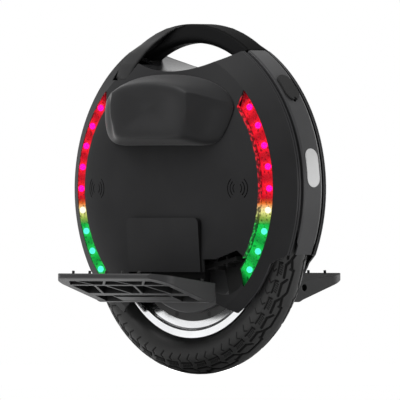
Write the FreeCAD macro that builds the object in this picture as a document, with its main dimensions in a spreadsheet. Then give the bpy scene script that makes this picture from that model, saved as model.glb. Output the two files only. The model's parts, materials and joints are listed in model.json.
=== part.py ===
import FreeCAD, Part
import math
import os

# Electric unicycle: +X forward, +Y to the rider's left, +Z up, origin on the ground under the axle.
# Right-hand pieces lie at -Y. Left-hand pieces are the same forms turned half round about Z,
# except that both side panels have their pedal bay at the front.

DRIVING_SIZES = {
    # wheel
    "tyre_radius": 209.5, "tyre_half_width": 28.5, "tyre_wall": 6.5, "tyre_section": 54.5,
    "rim_half_width": 17.4, "rim_lip": 3.0, "rim_flange": 2.0, "rim_depth": 13.0, "rim_face": 24.4,
    "cover_seat": 9.0, "cover_ring": 4.5, "cover_ring_width": 11.6, "disc_rise": 7.1, "disc_plate": 3.5,
    "rotor_wall": 11.5, "magnet_wall": 4.0, "air_gap": 1.0, "valve_radius": 3.0,
    "bearing_radius": 17.5, "bearing_width": 10.0, "hub_radius": 27.0, "axle_radius": 8.5,
    "cover_bolt_radius": 2.0, "cover_bolt_count": 12,
    # shell
    "shell_rise": 58.9, "panel_depth": 69.5, "flat_radius": 110.0, "shoulder_width": 29.0,
    "shoulder_drop": 8.5, "cone_width": 28.7, "cone_drop": 10.5, "edge_drop": 21.1, "panel_wall": 3.0,
    "lip_width": 6.4, "lip_rise": 0.9, "saddle_rise": 168.6, "saddle_radius": 240.0, "foot_drop": 61.5,
    "band_margin": 21.5, "panel_step": 3.3, "band_half_width": 18.4, "band_wall": 2.5, "band_bevel": 3.0,
    "band_top_angle": 59.3, "band_bottom_angle": 24.4, "groove_depth": 6.0, "deck_wall": 3.0,
    "plate_length": 78.0, "plate_half_width": 73.0, "plate_top_rise": 8.1, "plate_foot_rise": 2.0,
    "plate_corner": 8.0,
    # side lights
    "bar_width": 22.0, "bar_floor_drop": 2.5, "bar_face_rise": 4.0, "bar_wall": 2.5,
    "bar_inner_angle": 41.0, "bar_outer_angle": 45.3, "board_thickness": 1.6, "led_count": 9, "led_pitch": 9.6,
    "led_half_width": 2.6, "led_height": 0.8,
    "speaker_margin": 33.3, "speaker_radius": 18.5, "speaker_drop": 9.5, "slot_width": 1.5, "slot_angle": 50.0,
    # lamps and port
    "lamp_height": 56.0, "lamp_width": 24.0, "lamp_angle": 7.36, "lens_thickness": 4.0,
    "port_length": 46.0, "port_width": 26.0, "port_angle": 38.8, "port_cover_thickness": 2.4,
    "finger_hole_radius": 3.0, "socket_radius": 9.0, "socket_bore": 6.0, "socket_length": 22.0,
    # wheel arch
    "arch_clearance": 4.5, "arch_wall": 2.5, "arch_half_width": 33.5, "arch_margin": 19.0, "arch_foot_drop": 44.5,
    "brace_depth": 18.0, "brace_height": 6.0,
    # handle
    "handle_rise": 69.0, "handle_radius": 198.0, "handle_thickness": 27.7, "handle_half_width": 18.4,
    "grip_rounding": 11.0, "arm_thickness": 6.0, "rod_inset": 8.0, "rod_radius": 4.5, "middle_wall": 1.0,
    "guide_wall": 0.9, "guide_drop": 43.0, "guide_length": 204.0, "tube_fit": 0.07,
    # pedals
    "pedal_half_length": 112.0, "pedal_outer": 195.0, "pedal_inner": 80.0, "pedal_corner": 35.0,
    "pedal_rise": 7.2, "pedal_slope": 7.0, "pedal_heel": 28.0, "pedal_tip": 8.0, "pedal_skin": 3.2,
    "pin_depth": 102.0, "pin_drop": 84.5, "pin_radius": 5.0, "pin_half_length": 96.0,
    "block_half_width": 55.0, "block_radius": 12.0, "hanger_thickness": 10.0, "stud_radius": 2.0,
    "stud_height": 4.2, "hanger_bolt_circle": 25.0, "hanger_bolt_radius": 4.0,
    # electronics and deck
    "battery_half_length": 82.0, "battery_thickness": 20.5, "battery_rise": 31.6, "battery_height": 104.0,
    "board_length": 60.0, "board_width": 44.0, "board_height": 11.0, "sink_height": 6.0, "cable_radius": 2.5,
    "button_radius": 8.0, "button_place": 62.0, "button_rise": 2.5, "button_travel": 1.5,
    "pad_thickness": 38.0, "pad_rise": 59.6, "pad_height": 106.0, "pad_widest": 125.0, "screw_place": 89.0,
    "screw_rise": 91.6, "screw_radius": 2.5, "post_radius": 5.0,
    # fits
    "running_fit": 0.05, "seat_gap": 0.3, "slide_gap": 0.6,
}

# Sizes that grow with the wheel, written for a tyre of the first radius
FIRST_RADIUS = 209.5
GROWS_WITH_WHEEL = (
    "shell_rise", "saddle_rise", "saddle_radius", "handle_rise", "handle_radius", "pad_rise", "pad_height",
    "pad_widest", "battery_rise", "battery_height", "battery_half_length", "screw_rise", "screw_place",
    "button_place", "foot_drop", "plate_length", "plate_half_width", "pin_drop", "arch_foot_drop",
    "guide_drop", "guide_length",
)

# Sizes that follow from the driving ones
FOLLOWING_SIZES = {
    "bead_radius": lambda: size.tyre_radius - size.tyre_section,
    "rim_radius": lambda: size.bead_radius + size.rim_flange,
    "rim_well_radius": lambda: size.rim_radius - size.rim_depth,
    "cover_radius": lambda: size.rim_radius - size.rim_face,
    "disc_radius": lambda: size.cover_radius - size.cover_ring_width,
    "cover_bolt_circle": lambda: size.cover_radius - size.cover_ring_width / 2,
    "rotor_bore": lambda: size.disc_radius - 0.5,
    "magnet_radius": lambda: size.rotor_bore - size.rotor_wall,
    "stator_radius": lambda: size.magnet_radius - size.magnet_wall - size.air_gap,
    "shell_height": lambda: size.tyre_radius + size.shell_rise,
    "band_radius": lambda: size.tyre_radius + size.band_margin,
    "groove_floor": lambda: size.band_radius - size.groove_depth,
    "panel_radius": lambda: size.band_radius - size.panel_step,
    "cone_radius": lambda: size.panel_radius - size.cone_width,
    "shoulder_radius": lambda: size.cone_radius - size.shoulder_width,
    "shoulder_depth": lambda: size.panel_depth - size.shoulder_drop,
    "cone_depth": lambda: size.shoulder_depth - size.cone_drop,
    "panel_edge": lambda: size.cone_depth - size.edge_drop,
    "lip_edge": lambda: size.panel_edge - size.lip_width,
    "lip_radius": lambda: size.panel_radius + size.lip_rise,
    "panel_foot": lambda: size.tyre_radius - size.foot_drop,
    "plate_top": lambda: size.panel_foot + size.plate_length,
    "plate_top_depth": lambda: size.panel_depth + size.plate_top_rise,
    "plate_foot_depth": lambda: size.panel_depth + size.plate_foot_rise,
    "saddle_height": lambda: size.shell_height + size.saddle_rise,
    "bar_outer": lambda: size.cone_radius,
    "bar_inner": lambda: size.cone_radius - size.bar_width,
    "bar_floor": lambda: size.cone_depth - size.bar_floor_drop,
    "bar_face": lambda: size.bar_floor + size.bar_face_rise,
    "led_radius": lambda: size.bar_outer - 0.33 * size.bar_width,
    "speaker_place": lambda: size.bar_inner - size.speaker_margin,
    "speaker_face": lambda: size.panel_depth - size.speaker_drop,
    "arch_radius": lambda: size.tyre_radius + size.arch_clearance,
    "arch_reach": lambda: size.band_radius - size.arch_margin,
    "arch_foot": lambda: size.tyre_radius - size.arch_foot_drop,
    "handle_top": lambda: size.saddle_height + size.handle_rise,
    "handle_leg": lambda: leg_place(size.handle_radius, 1.0),
    "rod_place": lambda: size.handle_leg - size.rod_inset,
    "guide_radius": lambda: size.rod_radius + size.middle_wall + size.guide_wall,
    "rod_depth": lambda: max(size.arm_depth - 1.5, size.arch_half_width + size.guide_radius + 0.1),
    "guide_top": lambda: size.saddle_height - size.guide_drop,
    "guide_foot": lambda: size.guide_top - size.guide_length,
    "arm_foot": lambda: size.saddle_height - 9.0,
    "arm_depth": lambda: notch_depth() - 0.9,
    "pin_height": lambda: size.tyre_radius - size.pin_drop,
    "pedal_top_inner": lambda: size.pin_height + size.pedal_rise,
    "battery_foot": lambda: size.shell_height + size.battery_rise,
    "pad_foot": lambda: size.shell_height + size.pad_rise,
    "pad_top": lambda: size.pad_foot + size.pad_height,
    "pad_depth": lambda: size.panel_depth + size.pad_thickness,
    "screw_height": lambda: size.shell_height + size.screw_rise,
}

doc = FreeCAD.newDocument("unicycle")
sheet = doc.addObject("Spreadsheet::Sheet", "Sizes")
for row, (alias, value) in enumerate(DRIVING_SIZES.items(), start=1):
    sheet.set("A%d" % row, alias)
    sheet.set("B%d" % row, str(value))
    sheet.setAlias("B%d" % row, alias)
doc.recompute()


class SheetValues:
    """Reads a driving size from the sheet by its alias, or works out one that follows from them."""

    def __getattr__(self, alias):
        if alias in FOLLOWING_SIZES:
            return FOLLOWING_SIZES[alias]()
        value = float(sheet.get(alias))
        return value * self.tyre_radius / FIRST_RADIUS if alias in GROWS_WITH_WHEEL else value


size = SheetValues()
nodes = []
THROUGH = 400.0
ARM_STRIP = 1.047
NOTCH_DROP = 3.0
HALF_TURN = FreeCAD.Rotation(FreeCAD.Vector(0, 0, 1), 180)


# Sketch geometry

def flat(x, y):
    return FreeCAD.Vector(x, y, 0)


def loop(*stops):
    """Closed outline through (x, y) stops; a ("via", x, y) stop makes an arc of its two neighbours."""
    edges = []
    count = len(stops)
    corners = [stop for stop in stops if stop[0] != "via"]
    start = corners[0]
    index = stops.index(start)
    for step in range(count):
        stop = stops[(index + step) % count]
        following = stops[(index + step + 1) % count]
        if stop[0] == "via":
            continue
        if following[0] == "via":
            end = stops[(index + step + 2) % count]
            edges.append(arc(stop, following[1:], end))
        else:
            edges.append(Part.LineSegment(flat(*stop), flat(*following)))
    return edges


def arc(first, middle, last):
    """Arc through three points, always stored counter-clockwise."""
    turn = (middle[0] - first[0]) * (last[1] - first[1]) - (middle[1] - first[1]) * (last[0] - first[0])
    if turn < 0:
        first, last = last, first
    return Part.Arc(flat(*first), flat(*middle), flat(*last))


def ring(x, y, radius):
    return [Part.Circle(flat(x, y), FreeCAD.Vector(0, 0, 1), radius)]


def rectangle(x0, y0, x1, y1):
    return loop((x0, y0), (x1, y0), (x1, y1), (x0, y1))


def polar(radius, degrees, centre_y=0.0):
    angle = math.radians(degrees)
    return (radius * math.cos(angle), centre_y + radius * math.sin(angle))


def stadium(x, y, width, height):
    """Upright slot outline of the given overall size."""
    half = width / 2
    straight = (height - width) / 2
    return loop((x + half, y - straight), (x + half, y + straight), ("via", x, y + height / 2),
                (x - half, y + straight), (x - half, y - straight), ("via", x, y - height / 2))


def arc_band(inner, outer, inner_angle, outer_angle, centre_x, centre_y, facing=1):
    """Curved strip about a centre, from -angle to +angle, opening towards +x or -x."""
    def point(radius, degrees):
        angle = math.radians(degrees)
        return (centre_x + facing * radius * math.cos(angle), centre_y + radius * math.sin(angle))
    return loop(point(outer, -outer_angle), ("via", *point(outer, 0)), point(outer, outer_angle),
                point(inner, inner_angle), ("via", *point(inner, 0)), point(inner, -inner_angle))


def mirrored(outline):
    """The stops of an outline's mirror image across the y axis of the sketch."""
    return [(stop[0], -stop[1], stop[2]) if stop[0] == "via" else (-stop[0], stop[1]) for stop in outline]


def both(outline):
    return loop(*outline) + loop(*mirrored(outline))


# Feature helpers

def new_body(label, turned=False):
    body = doc.addObject("PartDesign::Body", label)
    body.Label = label
    if turned:
        body.Placement = FreeCAD.Placement(FreeCAD.Vector(), HALF_TURN)
    nodes.append(body)
    return body


def sketch(body, role, geometry, base=(0, 0, 0), bound=None, rotation=None):
    """Sketch on one of the body's own planes, moved by base or by a bound expression."""
    drawing = body.newObject("Sketcher::SketchObject", body.Label + "_sketch")
    support = next(item for item in body.Origin.OriginFeatures if item.Role == role)
    drawing.AttachmentSupport = [(support, "")]
    drawing.MapMode = "FlatFace"
    drawing.AttachmentOffset = FreeCAD.Placement(FreeCAD.Vector(*base), rotation or FreeCAD.Rotation())
    for axis, expression in (bound or {}).items():
        drawing.setExpression("AttachmentOffset.Base." + axis, expression)
    drawing.addGeometry(geometry, False)
    return drawing


def feature(body, kind, drawing, length=None):
    item = body.newObject("PartDesign::" + kind, body.Label + "_" + kind.lower())
    item.Profile = drawing
    if length is not None:
        if isinstance(length, str):
            item.setExpression("Length", length)
        else:
            item.Length = length
    drawing.Visibility = False
    return item


def turned_feature(body, kind, drawing, axis="H_Axis", angle=360.0):
    item = body.newObject("PartDesign::" + kind, body.Label + "_" + kind.lower())
    item.Profile = drawing
    item.ReferenceAxis = (drawing, [axis])
    if isinstance(angle, str):
        item.setExpression("Angle", angle)
    else:
        item.Angle = angle
    return item


def about_axle(body, kind, geometry):
    """Revolve a (y, radius) profile about the axle."""
    return turned_feature(body, kind, sketch(body, "YZ_Plane", geometry, bound={"y": "Sizes.tyre_radius"}))


def about_shell(body, kind, geometry):
    """Revolve a (y, radius) profile about the cross axis of the shell."""
    return turned_feature(body, kind, sketch(body, "YZ_Plane", geometry, base=(0, size.shell_height, 0)))


def side_sketch(body, geometry, depth):
    """Side view on a plane at some depth towards -Y, a number or a bound expression."""
    if isinstance(depth, str):
        return sketch(body, "XZ_Plane", geometry, bound={"z": depth})
    return sketch(body, "XZ_Plane", geometry, base=(0, 0, depth))


def side_pad(body, geometry, inner, length):
    """Pad a side-view outline towards -Y, from an inner depth."""
    return feature(body, "Pad", side_sketch(body, geometry, inner), length)


def side_cut(body, geometry, outer, length):
    """Cut a side-view outline inwards, from an outer depth."""
    return feature(body, "Pocket", side_sketch(body, geometry, outer), length)


def radial_sketch(body, geometry, degrees, distance):
    """Sketch square to a radius of the shell, on the +X side at an angle above level."""
    angle = math.radians(degrees)
    base = (0, size.shell_height + distance * math.sin(angle), distance * math.cos(angle))
    turn = FreeCAD.Rotation(FreeCAD.Vector(1, 0, 0), -degrees)
    return sketch(body, "YZ_Plane", geometry, base=base, rotation=turn)


def round_edges(body, radius, wanted):
    """Fillet the edges of the body that the test picks."""
    doc.recompute()
    names = ["Edge%d" % number for number, edge in enumerate(body.Shape.Edges, start=1) if wanted(edge)]
    carrier = body.Tip
    fillet = body.newObject("PartDesign::Fillet", body.Label + "_fillet")
    fillet.Base = (carrier, names)
    if isinstance(radius, str):
        fillet.setExpression("Radius", radius)
    else:
        fillet.Radius = radius
    return fillet


def rod(label, radius, height, place, axis, bore=None):
    """Round bar or tube with its sizes bound to the sheet."""
    bar = doc.addObject("Part::Cylinder", label)
    bar.setExpression("Radius", radius)
    bar.setExpression("Height", height)
    turn = FreeCAD.Rotation(FreeCAD.Vector(0, 0, 1), FreeCAD.Vector(*axis))
    bar.Placement = FreeCAD.Placement(FreeCAD.Vector(*place), turn)
    if bore is None:
        return bar
    hole = doc.addObject("Part::Cylinder", label + "_bore")
    hole.setExpression("Radius", bore)
    hole.setExpression("Height", height)
    hole.Placement = bar.Placement
    cut = doc.addObject("Part::Cut", label + "_tube")
    cut.Base = bar
    cut.Tool = hole
    return cut


def group(label, members, turned=False):
    """Separate identical solids that share one node."""
    holder = doc.addObject("Part::Compound", label)
    holder.Label = label
    holder.Links = members
    if turned:
        holder.Placement = FreeCAD.Placement(FreeCAD.Vector(), HALF_TURN)
    nodes.append(holder)
    return holder


# Shell curve shared by the panels, the deck, the knee pads and the wheel arch

def shell_stops(offset):
    """Outer curve of the right panel as (y, radius) stops, moved out by offset."""
    run = math.hypot(size.panel_radius - size.cone_radius, size.cone_depth - size.panel_edge)
    cone = (-(size.panel_radius - size.cone_radius) / run, (size.cone_depth - size.panel_edge) / run)
    shoulder = (-math.cos(math.radians(20)), math.sin(math.radians(20)))
    bend = (-math.cos(math.radians(9)), math.sin(math.radians(9)))
    bend_radius = (size.flat_radius + size.shoulder_radius) / 2 + 4
    bend_depth = size.panel_depth - 0.24 * (size.panel_depth - size.shoulder_depth)
    return [
        (-size.panel_depth - offset, 0.0),
        (-size.panel_depth - offset, size.flat_radius),
        ("via", -bend_depth + offset * bend[0], bend_radius + offset * bend[1]),
        (-size.shoulder_depth + offset * shoulder[0], size.shoulder_radius + offset * shoulder[1]),
        (-size.cone_depth + offset * cone[0], size.cone_radius + offset * cone[1]),
        (-size.panel_edge + offset * cone[0], size.panel_radius + offset * cone[1]),
    ]


def outside_shell(offset):
    """Profile of everything beyond the right panel's curve."""
    curve = shell_stops(offset)
    edge = curve[-1]
    return curve + [(edge[0], THROUGH), (-THROUGH, THROUGH), (-THROUGH, 0.0)]


def inside_shell(offset):
    """Profile of everything within the right panel's curve."""
    curve = shell_stops(offset)
    return curve + [(0.0, curve[-1][1]), (0.0, 0.0)]


def saddle(x, drop=0.0):
    """Height of the deck's hollow top at x."""
    return size.saddle_height - drop + size.saddle_radius - math.sqrt(size.saddle_radius ** 2 - x ** 2)


def leg_place(radius, rise):
    """Where a circle about the handle's centre comes down to a small rise over the deck."""
    centre = size.handle_top - size.handle_radius
    low, high = 0.0, 0.95 * min(radius, size.saddle_radius)
    for _ in range(40):
        middle = (low + high) / 2
        if centre + math.sqrt(radius ** 2 - middle ** 2) > saddle(middle) + size.slide_gap + rise:
            low = middle
        else:
            high = middle
    return low


def notch_depth():
    """Inner depth of the panel's cone at the foot of the handle's notch."""
    radius = math.hypot(ARM_STRIP * size.handle_leg, size.arm_foot - NOTCH_DROP - size.shell_height)
    lean = math.hypot(size.cone_width, size.edge_drop) / size.cone_width
    share = (radius - size.cone_radius) / size.cone_width
    return size.cone_depth - share * size.edge_drop - size.panel_wall * lean


# Wheel

def make_tyre():
    body = new_body("tyre")
    radius, half, bead = size.tyre_radius, size.tyre_half_width, size.bead_radius
    wall = size.tyre_wall
    seat = size.rim_half_width - size.rim_lip
    shoulder = (0.78 * half, radius - 10.5)
    inner = (shoulder[0] - 0.75 * wall, shoulder[1] - 0.8 * wall)
    mid = (bead + shoulder[1]) / 2
    foot = size.rim_radius + 1.5
    bead_out = seat - size.seat_gap
    about_axle(body, "Revolution", loop(
        (-bead_out, bead), (-bead_out, foot), ("via", -half, mid + 3), (-shoulder[0], shoulder[1]),
        ("via", 0, radius), shoulder, ("via", half, mid + 3), (bead_out, foot), (bead_out, bead),
        (seat - 0.6 * wall, bead + 1), ("via", half - wall, mid + 3), inner, ("via", 0, radius - 1.1 * wall),
        (-inner[0], inner[1]), ("via", -half + wall, mid + 3), (-seat + 0.6 * wall, bead + 1)))


def make_inner_tube():
    body = new_body("inner_tube")
    bore = size.tyre_half_width - size.tyre_wall
    centre = (size.bead_radius + size.tyre_radius) / 2 - 1
    radius = bore - 1.2
    about_axle(body, "Revolution", ring(0, centre, radius) + ring(0, centre, radius - 1.5))


def make_rim():
    body = new_body("rim")
    half, outer, well = size.rim_half_width, size.rim_radius, size.rim_well_radius
    seat = half - size.rim_lip
    cover, step = size.cover_radius, size.cover_seat
    bead = size.bead_radius - 2.5
    right = [(half, outer - 10), (half - 2, outer - 12), (half - 2.6, outer - 14.3), (half - 4.2, cover),
             (step, cover), (step, size.rotor_bore)]
    left = [(-y, r) for y, r in reversed(right)]
    tyre_side = [(-half, outer), (-seat, outer), (-seat + 0.5, bead), (-seat + 5, bead - 2.5), (-7, well),
                 (7, well), (seat - 5, bead - 2.5), (seat - 0.5, bead), (seat, outer), (half, outer)]
    about_axle(body, "Revolution", loop(*right, *left, *tyre_side))
    holes = [part for x, z in bolt_places() for part in ring(x, z, size.cover_bolt_radius + size.running_fit)]
    drawing = sketch(body, "XZ_Plane", holes, bound={"z": "Sizes.rim_half_width"})
    feature(body, "Pocket", drawing, "2 * Sizes.rim_half_width")
    drawing = sketch(body, "XY_Plane", ring(0, 0, size.valve_radius + size.running_fit),
                     base=(0, 0, size.tyre_radius - size.cover_radius))
    feature(body, "Pocket", drawing, size.tyre_section)


def bolt_places():
    count = int(size.cover_bolt_count)
    return [polar(size.cover_bolt_circle, 360 * (i + 0.5) / count, size.tyre_radius) for i in range(count)]


def make_valve():
    body = new_body("tyre_valve")
    centre = (size.bead_radius + size.tyre_radius) / 2 - 1
    tube_bottom = centre - (size.tyre_half_width - size.tyre_wall - 1.2)
    drawing = sketch(body, "XY_Plane", ring(0, 0, size.valve_radius), base=(0, 0, size.tyre_radius - tube_bottom))
    feature(body, "Pad", drawing, tube_bottom - size.cover_radius - 1.5)


def make_motor_cover(label, turned):
    body = new_body(label, turned)
    seat, ring_face = -size.cover_seat, -size.cover_seat - size.cover_ring
    face = ring_face - size.disc_rise
    rim, disc = size.cover_radius - size.running_fit, size.disc_radius
    hub, bore = size.hub_radius, size.bearing_radius
    about_axle(body, "Revolution", loop(
        (seat, rim), (ring_face, rim), (ring_face, disc), (face + 1.5, disc), (face, disc - 1.5),
        (face, bore - 5), (face + 1.5, bore - 5), (face + 1.5, bore), (seat, bore), (seat, hub),
        (face + size.disc_plate, hub + 6), (face + size.disc_plate, disc - 8), (seat, disc - 3)))
    holes = [part for x, z in bolt_places() for part in ring(x, z, size.cover_bolt_radius + size.running_fit)]
    side_cut(body, holes, "Sizes.rim_half_width + 5", "2 * Sizes.rim_half_width")
    sinks = [part for x, z in bolt_places() for part in ring(x, z, 2 * size.cover_bolt_radius + size.running_fit)]
    side_cut(body, sinks, "Sizes.cover_seat + Sizes.cover_ring", "Sizes.cover_bolt_radius")


def make_cover_bolts():
    bolts = []
    for side in (-1, 1):
        face = side * (size.cover_seat + size.cover_ring)
        for x, z in bolt_places():
            bolts.append(rod("cover_bolt_head", "2 * Sizes.cover_bolt_radius", "Sizes.cover_bolt_radius",
                             (x, face, z), (0, -side, 0)))
            bolts.append(rod("cover_bolt_shank", "Sizes.cover_bolt_radius", "Sizes.cover_seat",
                             (x, face, z), (0, -side, 0)))
    pairs = []
    for head, shank in zip(bolts[::2], bolts[1::2]):
        bolt = doc.addObject("Part::Fuse", "cover_bolt")
        bolt.Base = head
        bolt.Tool = shank
        pairs.append(bolt)
    group("motor_cover_bolts", pairs)


def make_motor():
    rotor = new_body("rotor_ring")
    half = size.cover_seat - 0.4
    about_axle(rotor, "Revolution", rectangle(-half, size.magnet_radius, half,
                                              size.rotor_bore - size.running_fit))
    magnets = new_body("magnet_ring")
    gap_radius = size.stator_radius + size.air_gap
    about_axle(magnets, "Revolution", rectangle(-half + 1, gap_radius, half - 1,
                                                size.magnet_radius - size.running_fit))
    stator = new_body("stator_core")
    yoke = 0.7 * size.stator_radius
    bore = size.axle_radius + size.running_fit
    boss = size.cover_seat - 2
    about_axle(stator, "Revolution", loop(
        (-half + 1, size.stator_radius), (-half + 1, yoke), (-3, yoke), (-3, 2 * bore), (-boss, 2 * bore),
        (-boss, bore), (boss, bore), (boss, 2 * bore), (3, 2 * bore), (3, yoke), (half - 1, yoke),
        (half - 1, size.stator_radius)))
    winding = new_body("stator_windings")
    start = half - 1
    space = size.stator_radius - yoke
    coil = [(start, yoke + 0.19 * space), (start + 3, yoke + 0.256 * space), (start + 4, yoke + 0.5 * space),
            (start + 3, yoke + 0.744 * space), (start, yoke + 0.81 * space)]
    about_axle(winding, "Revolution", loop(*coil) + loop(*[(-y, r) for y, r in coil]))


def make_bearings():
    bearings = []
    outer_face = size.cover_seat + size.cover_ring + size.disc_rise - 1.5
    for side in (-1, 1):
        bearings.append(rod("wheel_bearing", "Sizes.bearing_radius - Sizes.running_fit", "Sizes.bearing_width",
                            (0, side * outer_face, size.tyre_radius), (0, -side, 0),
                            bore="Sizes.axle_radius + Sizes.running_fit"))
    group("wheel_bearings", bearings)


def make_axle():
    body = new_body("axle")
    end = axle_end()
    stop = size.cover_seat + size.cover_ring + size.disc_rise + 3
    radius, collar = size.axle_radius, size.axle_radius + 4
    about_axle(body, "Revolution", loop(
        (-end, 0), (-end, radius - 1), (-end + 1, radius), (-size.arch_half_width, radius),
        (-size.arch_half_width, collar), (-stop, collar), (-stop, radius), (stop, radius), (stop, collar),
        (size.arch_half_width, collar), (size.arch_half_width, radius), (end - 1, radius), (end, radius - 1),
        (end, 0)))


def axle_end():
    return size.arch_half_width + size.hanger_thickness + 11.5


def make_axle_nuts():
    nuts = []
    for side in (-1, 1):
        nut = doc.addObject("Part::Prism", "nut_blank")
        nut.Polygon = 6
        nut.setExpression("Circumradius", "Sizes.axle_radius * 1.6")
        nut.setExpression("Height", "Sizes.hanger_thickness")
        turn = FreeCAD.Rotation(FreeCAD.Vector(0, 0, 1), FreeCAD.Vector(0, side, 0))
        face = side * (size.arch_half_width + size.hanger_thickness)
        nut.Placement = FreeCAD.Placement(FreeCAD.Vector(0, face, size.tyre_radius), turn)
        bore = doc.addObject("Part::Cylinder", "nut_bore")
        bore.setExpression("Radius", "Sizes.axle_radius + Sizes.running_fit")
        bore.setExpression("Height", "Sizes.hanger_thickness")
        bore.Placement = nut.Placement
        cut = doc.addObject("Part::Cut", "axle_nut")
        cut.Base = nut
        cut.Tool = bore
        nuts.append(cut)
    group("axle_nuts", nuts)


# Frame

def make_wheel_arch():
    body = new_body("wheel_arch")
    half, roof, wall = size.arch_half_width, size.arch_radius, size.arch_wall
    top = roof + wall
    bore = size.axle_radius + 5
    about_axle(body, "Revolution", loop(
        (-half, bore), (-half, top), (half, top), (half, bore), (half - wall, bore), (half - wall, roof),
        (-half + wall, roof), (-half + wall, bore)))
    centre, reach, foot = size.shell_height, size.arch_reach, size.arch_foot
    side = math.sqrt(reach ** 2 - (centre - foot) ** 2)
    wide = 0.716 * size.tyre_radius
    low = size.pin_height - 9
    bay = size.pedal_half_length - 18
    right = [(side, foot), (wide, low), (bay, low), (bay - 12, foot)]
    keep = loop(*[(-x, z) for x, z in right], *reversed(right), ("via", 0, centre + reach))
    side_cut(body, rectangle(-THROUGH, -THROUGH, THROUGH, 2 * THROUGH) + keep, "Sizes.arch_half_width + 10",
             "2 * Sizes.arch_half_width + 20")
    holes = [part for x, z in hanger_bolt_places() for part in ring(x, z, size.hanger_bolt_radius + 0.05)]
    side_cut(body, holes, "Sizes.arch_half_width + 10", "2 * Sizes.arch_half_width + 20")
    for side_of, turn in ((1, None), (-1, FreeCAD.Rotation(FreeCAD.Vector(0, 1, 0), 180))):
        posts = []
        bores = []
        for x in (-size.screw_place, size.screw_place):
            posts += ring(x, size.screw_height, size.post_radius)
            bores += ring(x, size.screw_height, size.screw_radius + size.running_fit)
        base = (0, 0, side_of * size.arch_half_width)
        drawing = sketch(body, "XZ_Plane", posts, base=base, rotation=turn)
        feature(body, "Pad", drawing, post_length())
        brace = brace_stops() if turn is None else mirrored(brace_stops())
        drawing = sketch(body, "XZ_Plane", loop(*brace), base=base, rotation=turn)
        feature(body, "Pad", drawing, "Sizes.brace_depth")
        drawing = sketch(body, "XZ_Plane", bores, base=(0, 0, side_of * (size.arch_half_width + 50)),
                         rotation=turn)
        feature(body, "Pocket", drawing, 38.0)


def brace_stops():
    """Slanting brace with two cross ribs, seen through the pedal bay."""
    start, end = size.block_half_width + 6, 0.601 * size.tyre_radius
    low, high = size.pin_height + 26, size.pin_height + 40
    thick, rib, tall = size.brace_height, 1.5, 5.0

    def under(x):
        return low + (x - start) / (end - start) * (high - low)

    stops = [(start, under(start))]
    tops = []
    for share in (0.38, 0.7):
        x = start + share * (end - start)
        stops += [(x - rib, under(x - rib)), (x - rib, under(x) - tall), (x + rib, under(x) - tall),
                  (x + rib, under(x + rib))]
        tops += [(x - rib, under(x - rib) + thick), (x - rib, under(x) + thick + tall),
                 (x + rib, under(x) + thick + tall), (x + rib, under(x + rib) + thick)]
    return [*stops, (end, under(end)), (end, under(end) + thick), *reversed(tops), (start, under(start) + thick)]


def post_length():
    return size.panel_depth - size.panel_wall - 1.7 - size.arch_half_width


def hanger_bolt_places():
    return [polar(size.hanger_bolt_circle, 45 + 90 * i, size.tyre_radius) for i in range(4)]


def make_hanger(label, turned):
    body = new_body(label, turned)
    centre, radius = size.tyre_radius, size.hanger_bolt_circle + 11
    block, foot = size.block_half_width, size.pin_height - size.block_radius
    top = size.pin_height + size.block_radius
    side_pad(body, loop((radius, centre), ("via", 0, centre + radius), (-radius, centre), (-block, top + 14),
                        (-block, foot), (block, foot), (block, top + 14)),
             "Sizes.arch_half_width", "Sizes.hanger_thickness")
    start = -size.arch_half_width - size.hanger_thickness + 2
    end = -size.pin_depth
    drawing = sketch(body, "YZ_Plane", loop((start, foot), (start, top), (end, top),
                                            ("via", end - size.block_radius, size.pin_height), (end, foot)),
                     bound={"z": "-Sizes.block_half_width"})
    feature(body, "Pad", drawing, "2 * Sizes.block_half_width")
    drawing = sketch(body, "YZ_Plane", ring(end, size.pin_height, size.pin_radius + size.running_fit),
                     bound={"z": "Sizes.block_half_width + 5"})
    feature(body, "Pocket", drawing, "2 * Sizes.block_half_width + 10")
    holes = ring(0, centre, size.axle_radius + size.running_fit)
    for x, z in hanger_bolt_places():
        holes += ring(x, z, size.hanger_bolt_radius + 0.05)
    side_cut(body, holes, "Sizes.arch_half_width + 30", "50")


def make_hanger_bolts():
    bolts = []
    for side in (-1, 1):
        face = side * (size.arch_half_width + size.hanger_thickness)
        for x, z in hanger_bolt_places():
            bolt = doc.addObject("Part::Fuse", "hanger_bolt")
            bolt.Base = rod("hanger_bolt_head", "1.6 * Sizes.hanger_bolt_radius", "Sizes.hanger_bolt_radius",
                            (x, face, z), (0, side, 0))
            bolt.Tool = rod("hanger_bolt_shank", "Sizes.hanger_bolt_radius",
                            "Sizes.hanger_thickness + Sizes.arch_wall", (x, face, z), (0, -side, 0))
            bolts.append(bolt)
    group("hanger_bolts", bolts)


def make_pins():
    pins = []
    for side in (-1, 1):
        pins.append(rod("pedal_pin", "Sizes.pin_radius", "2 * Sizes.pin_half_length",
                        (-size.pin_half_length, side * size.pin_depth, size.pin_height), (1, 0, 0)))
    group("pedal_pins", pins)


# Shell

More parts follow.
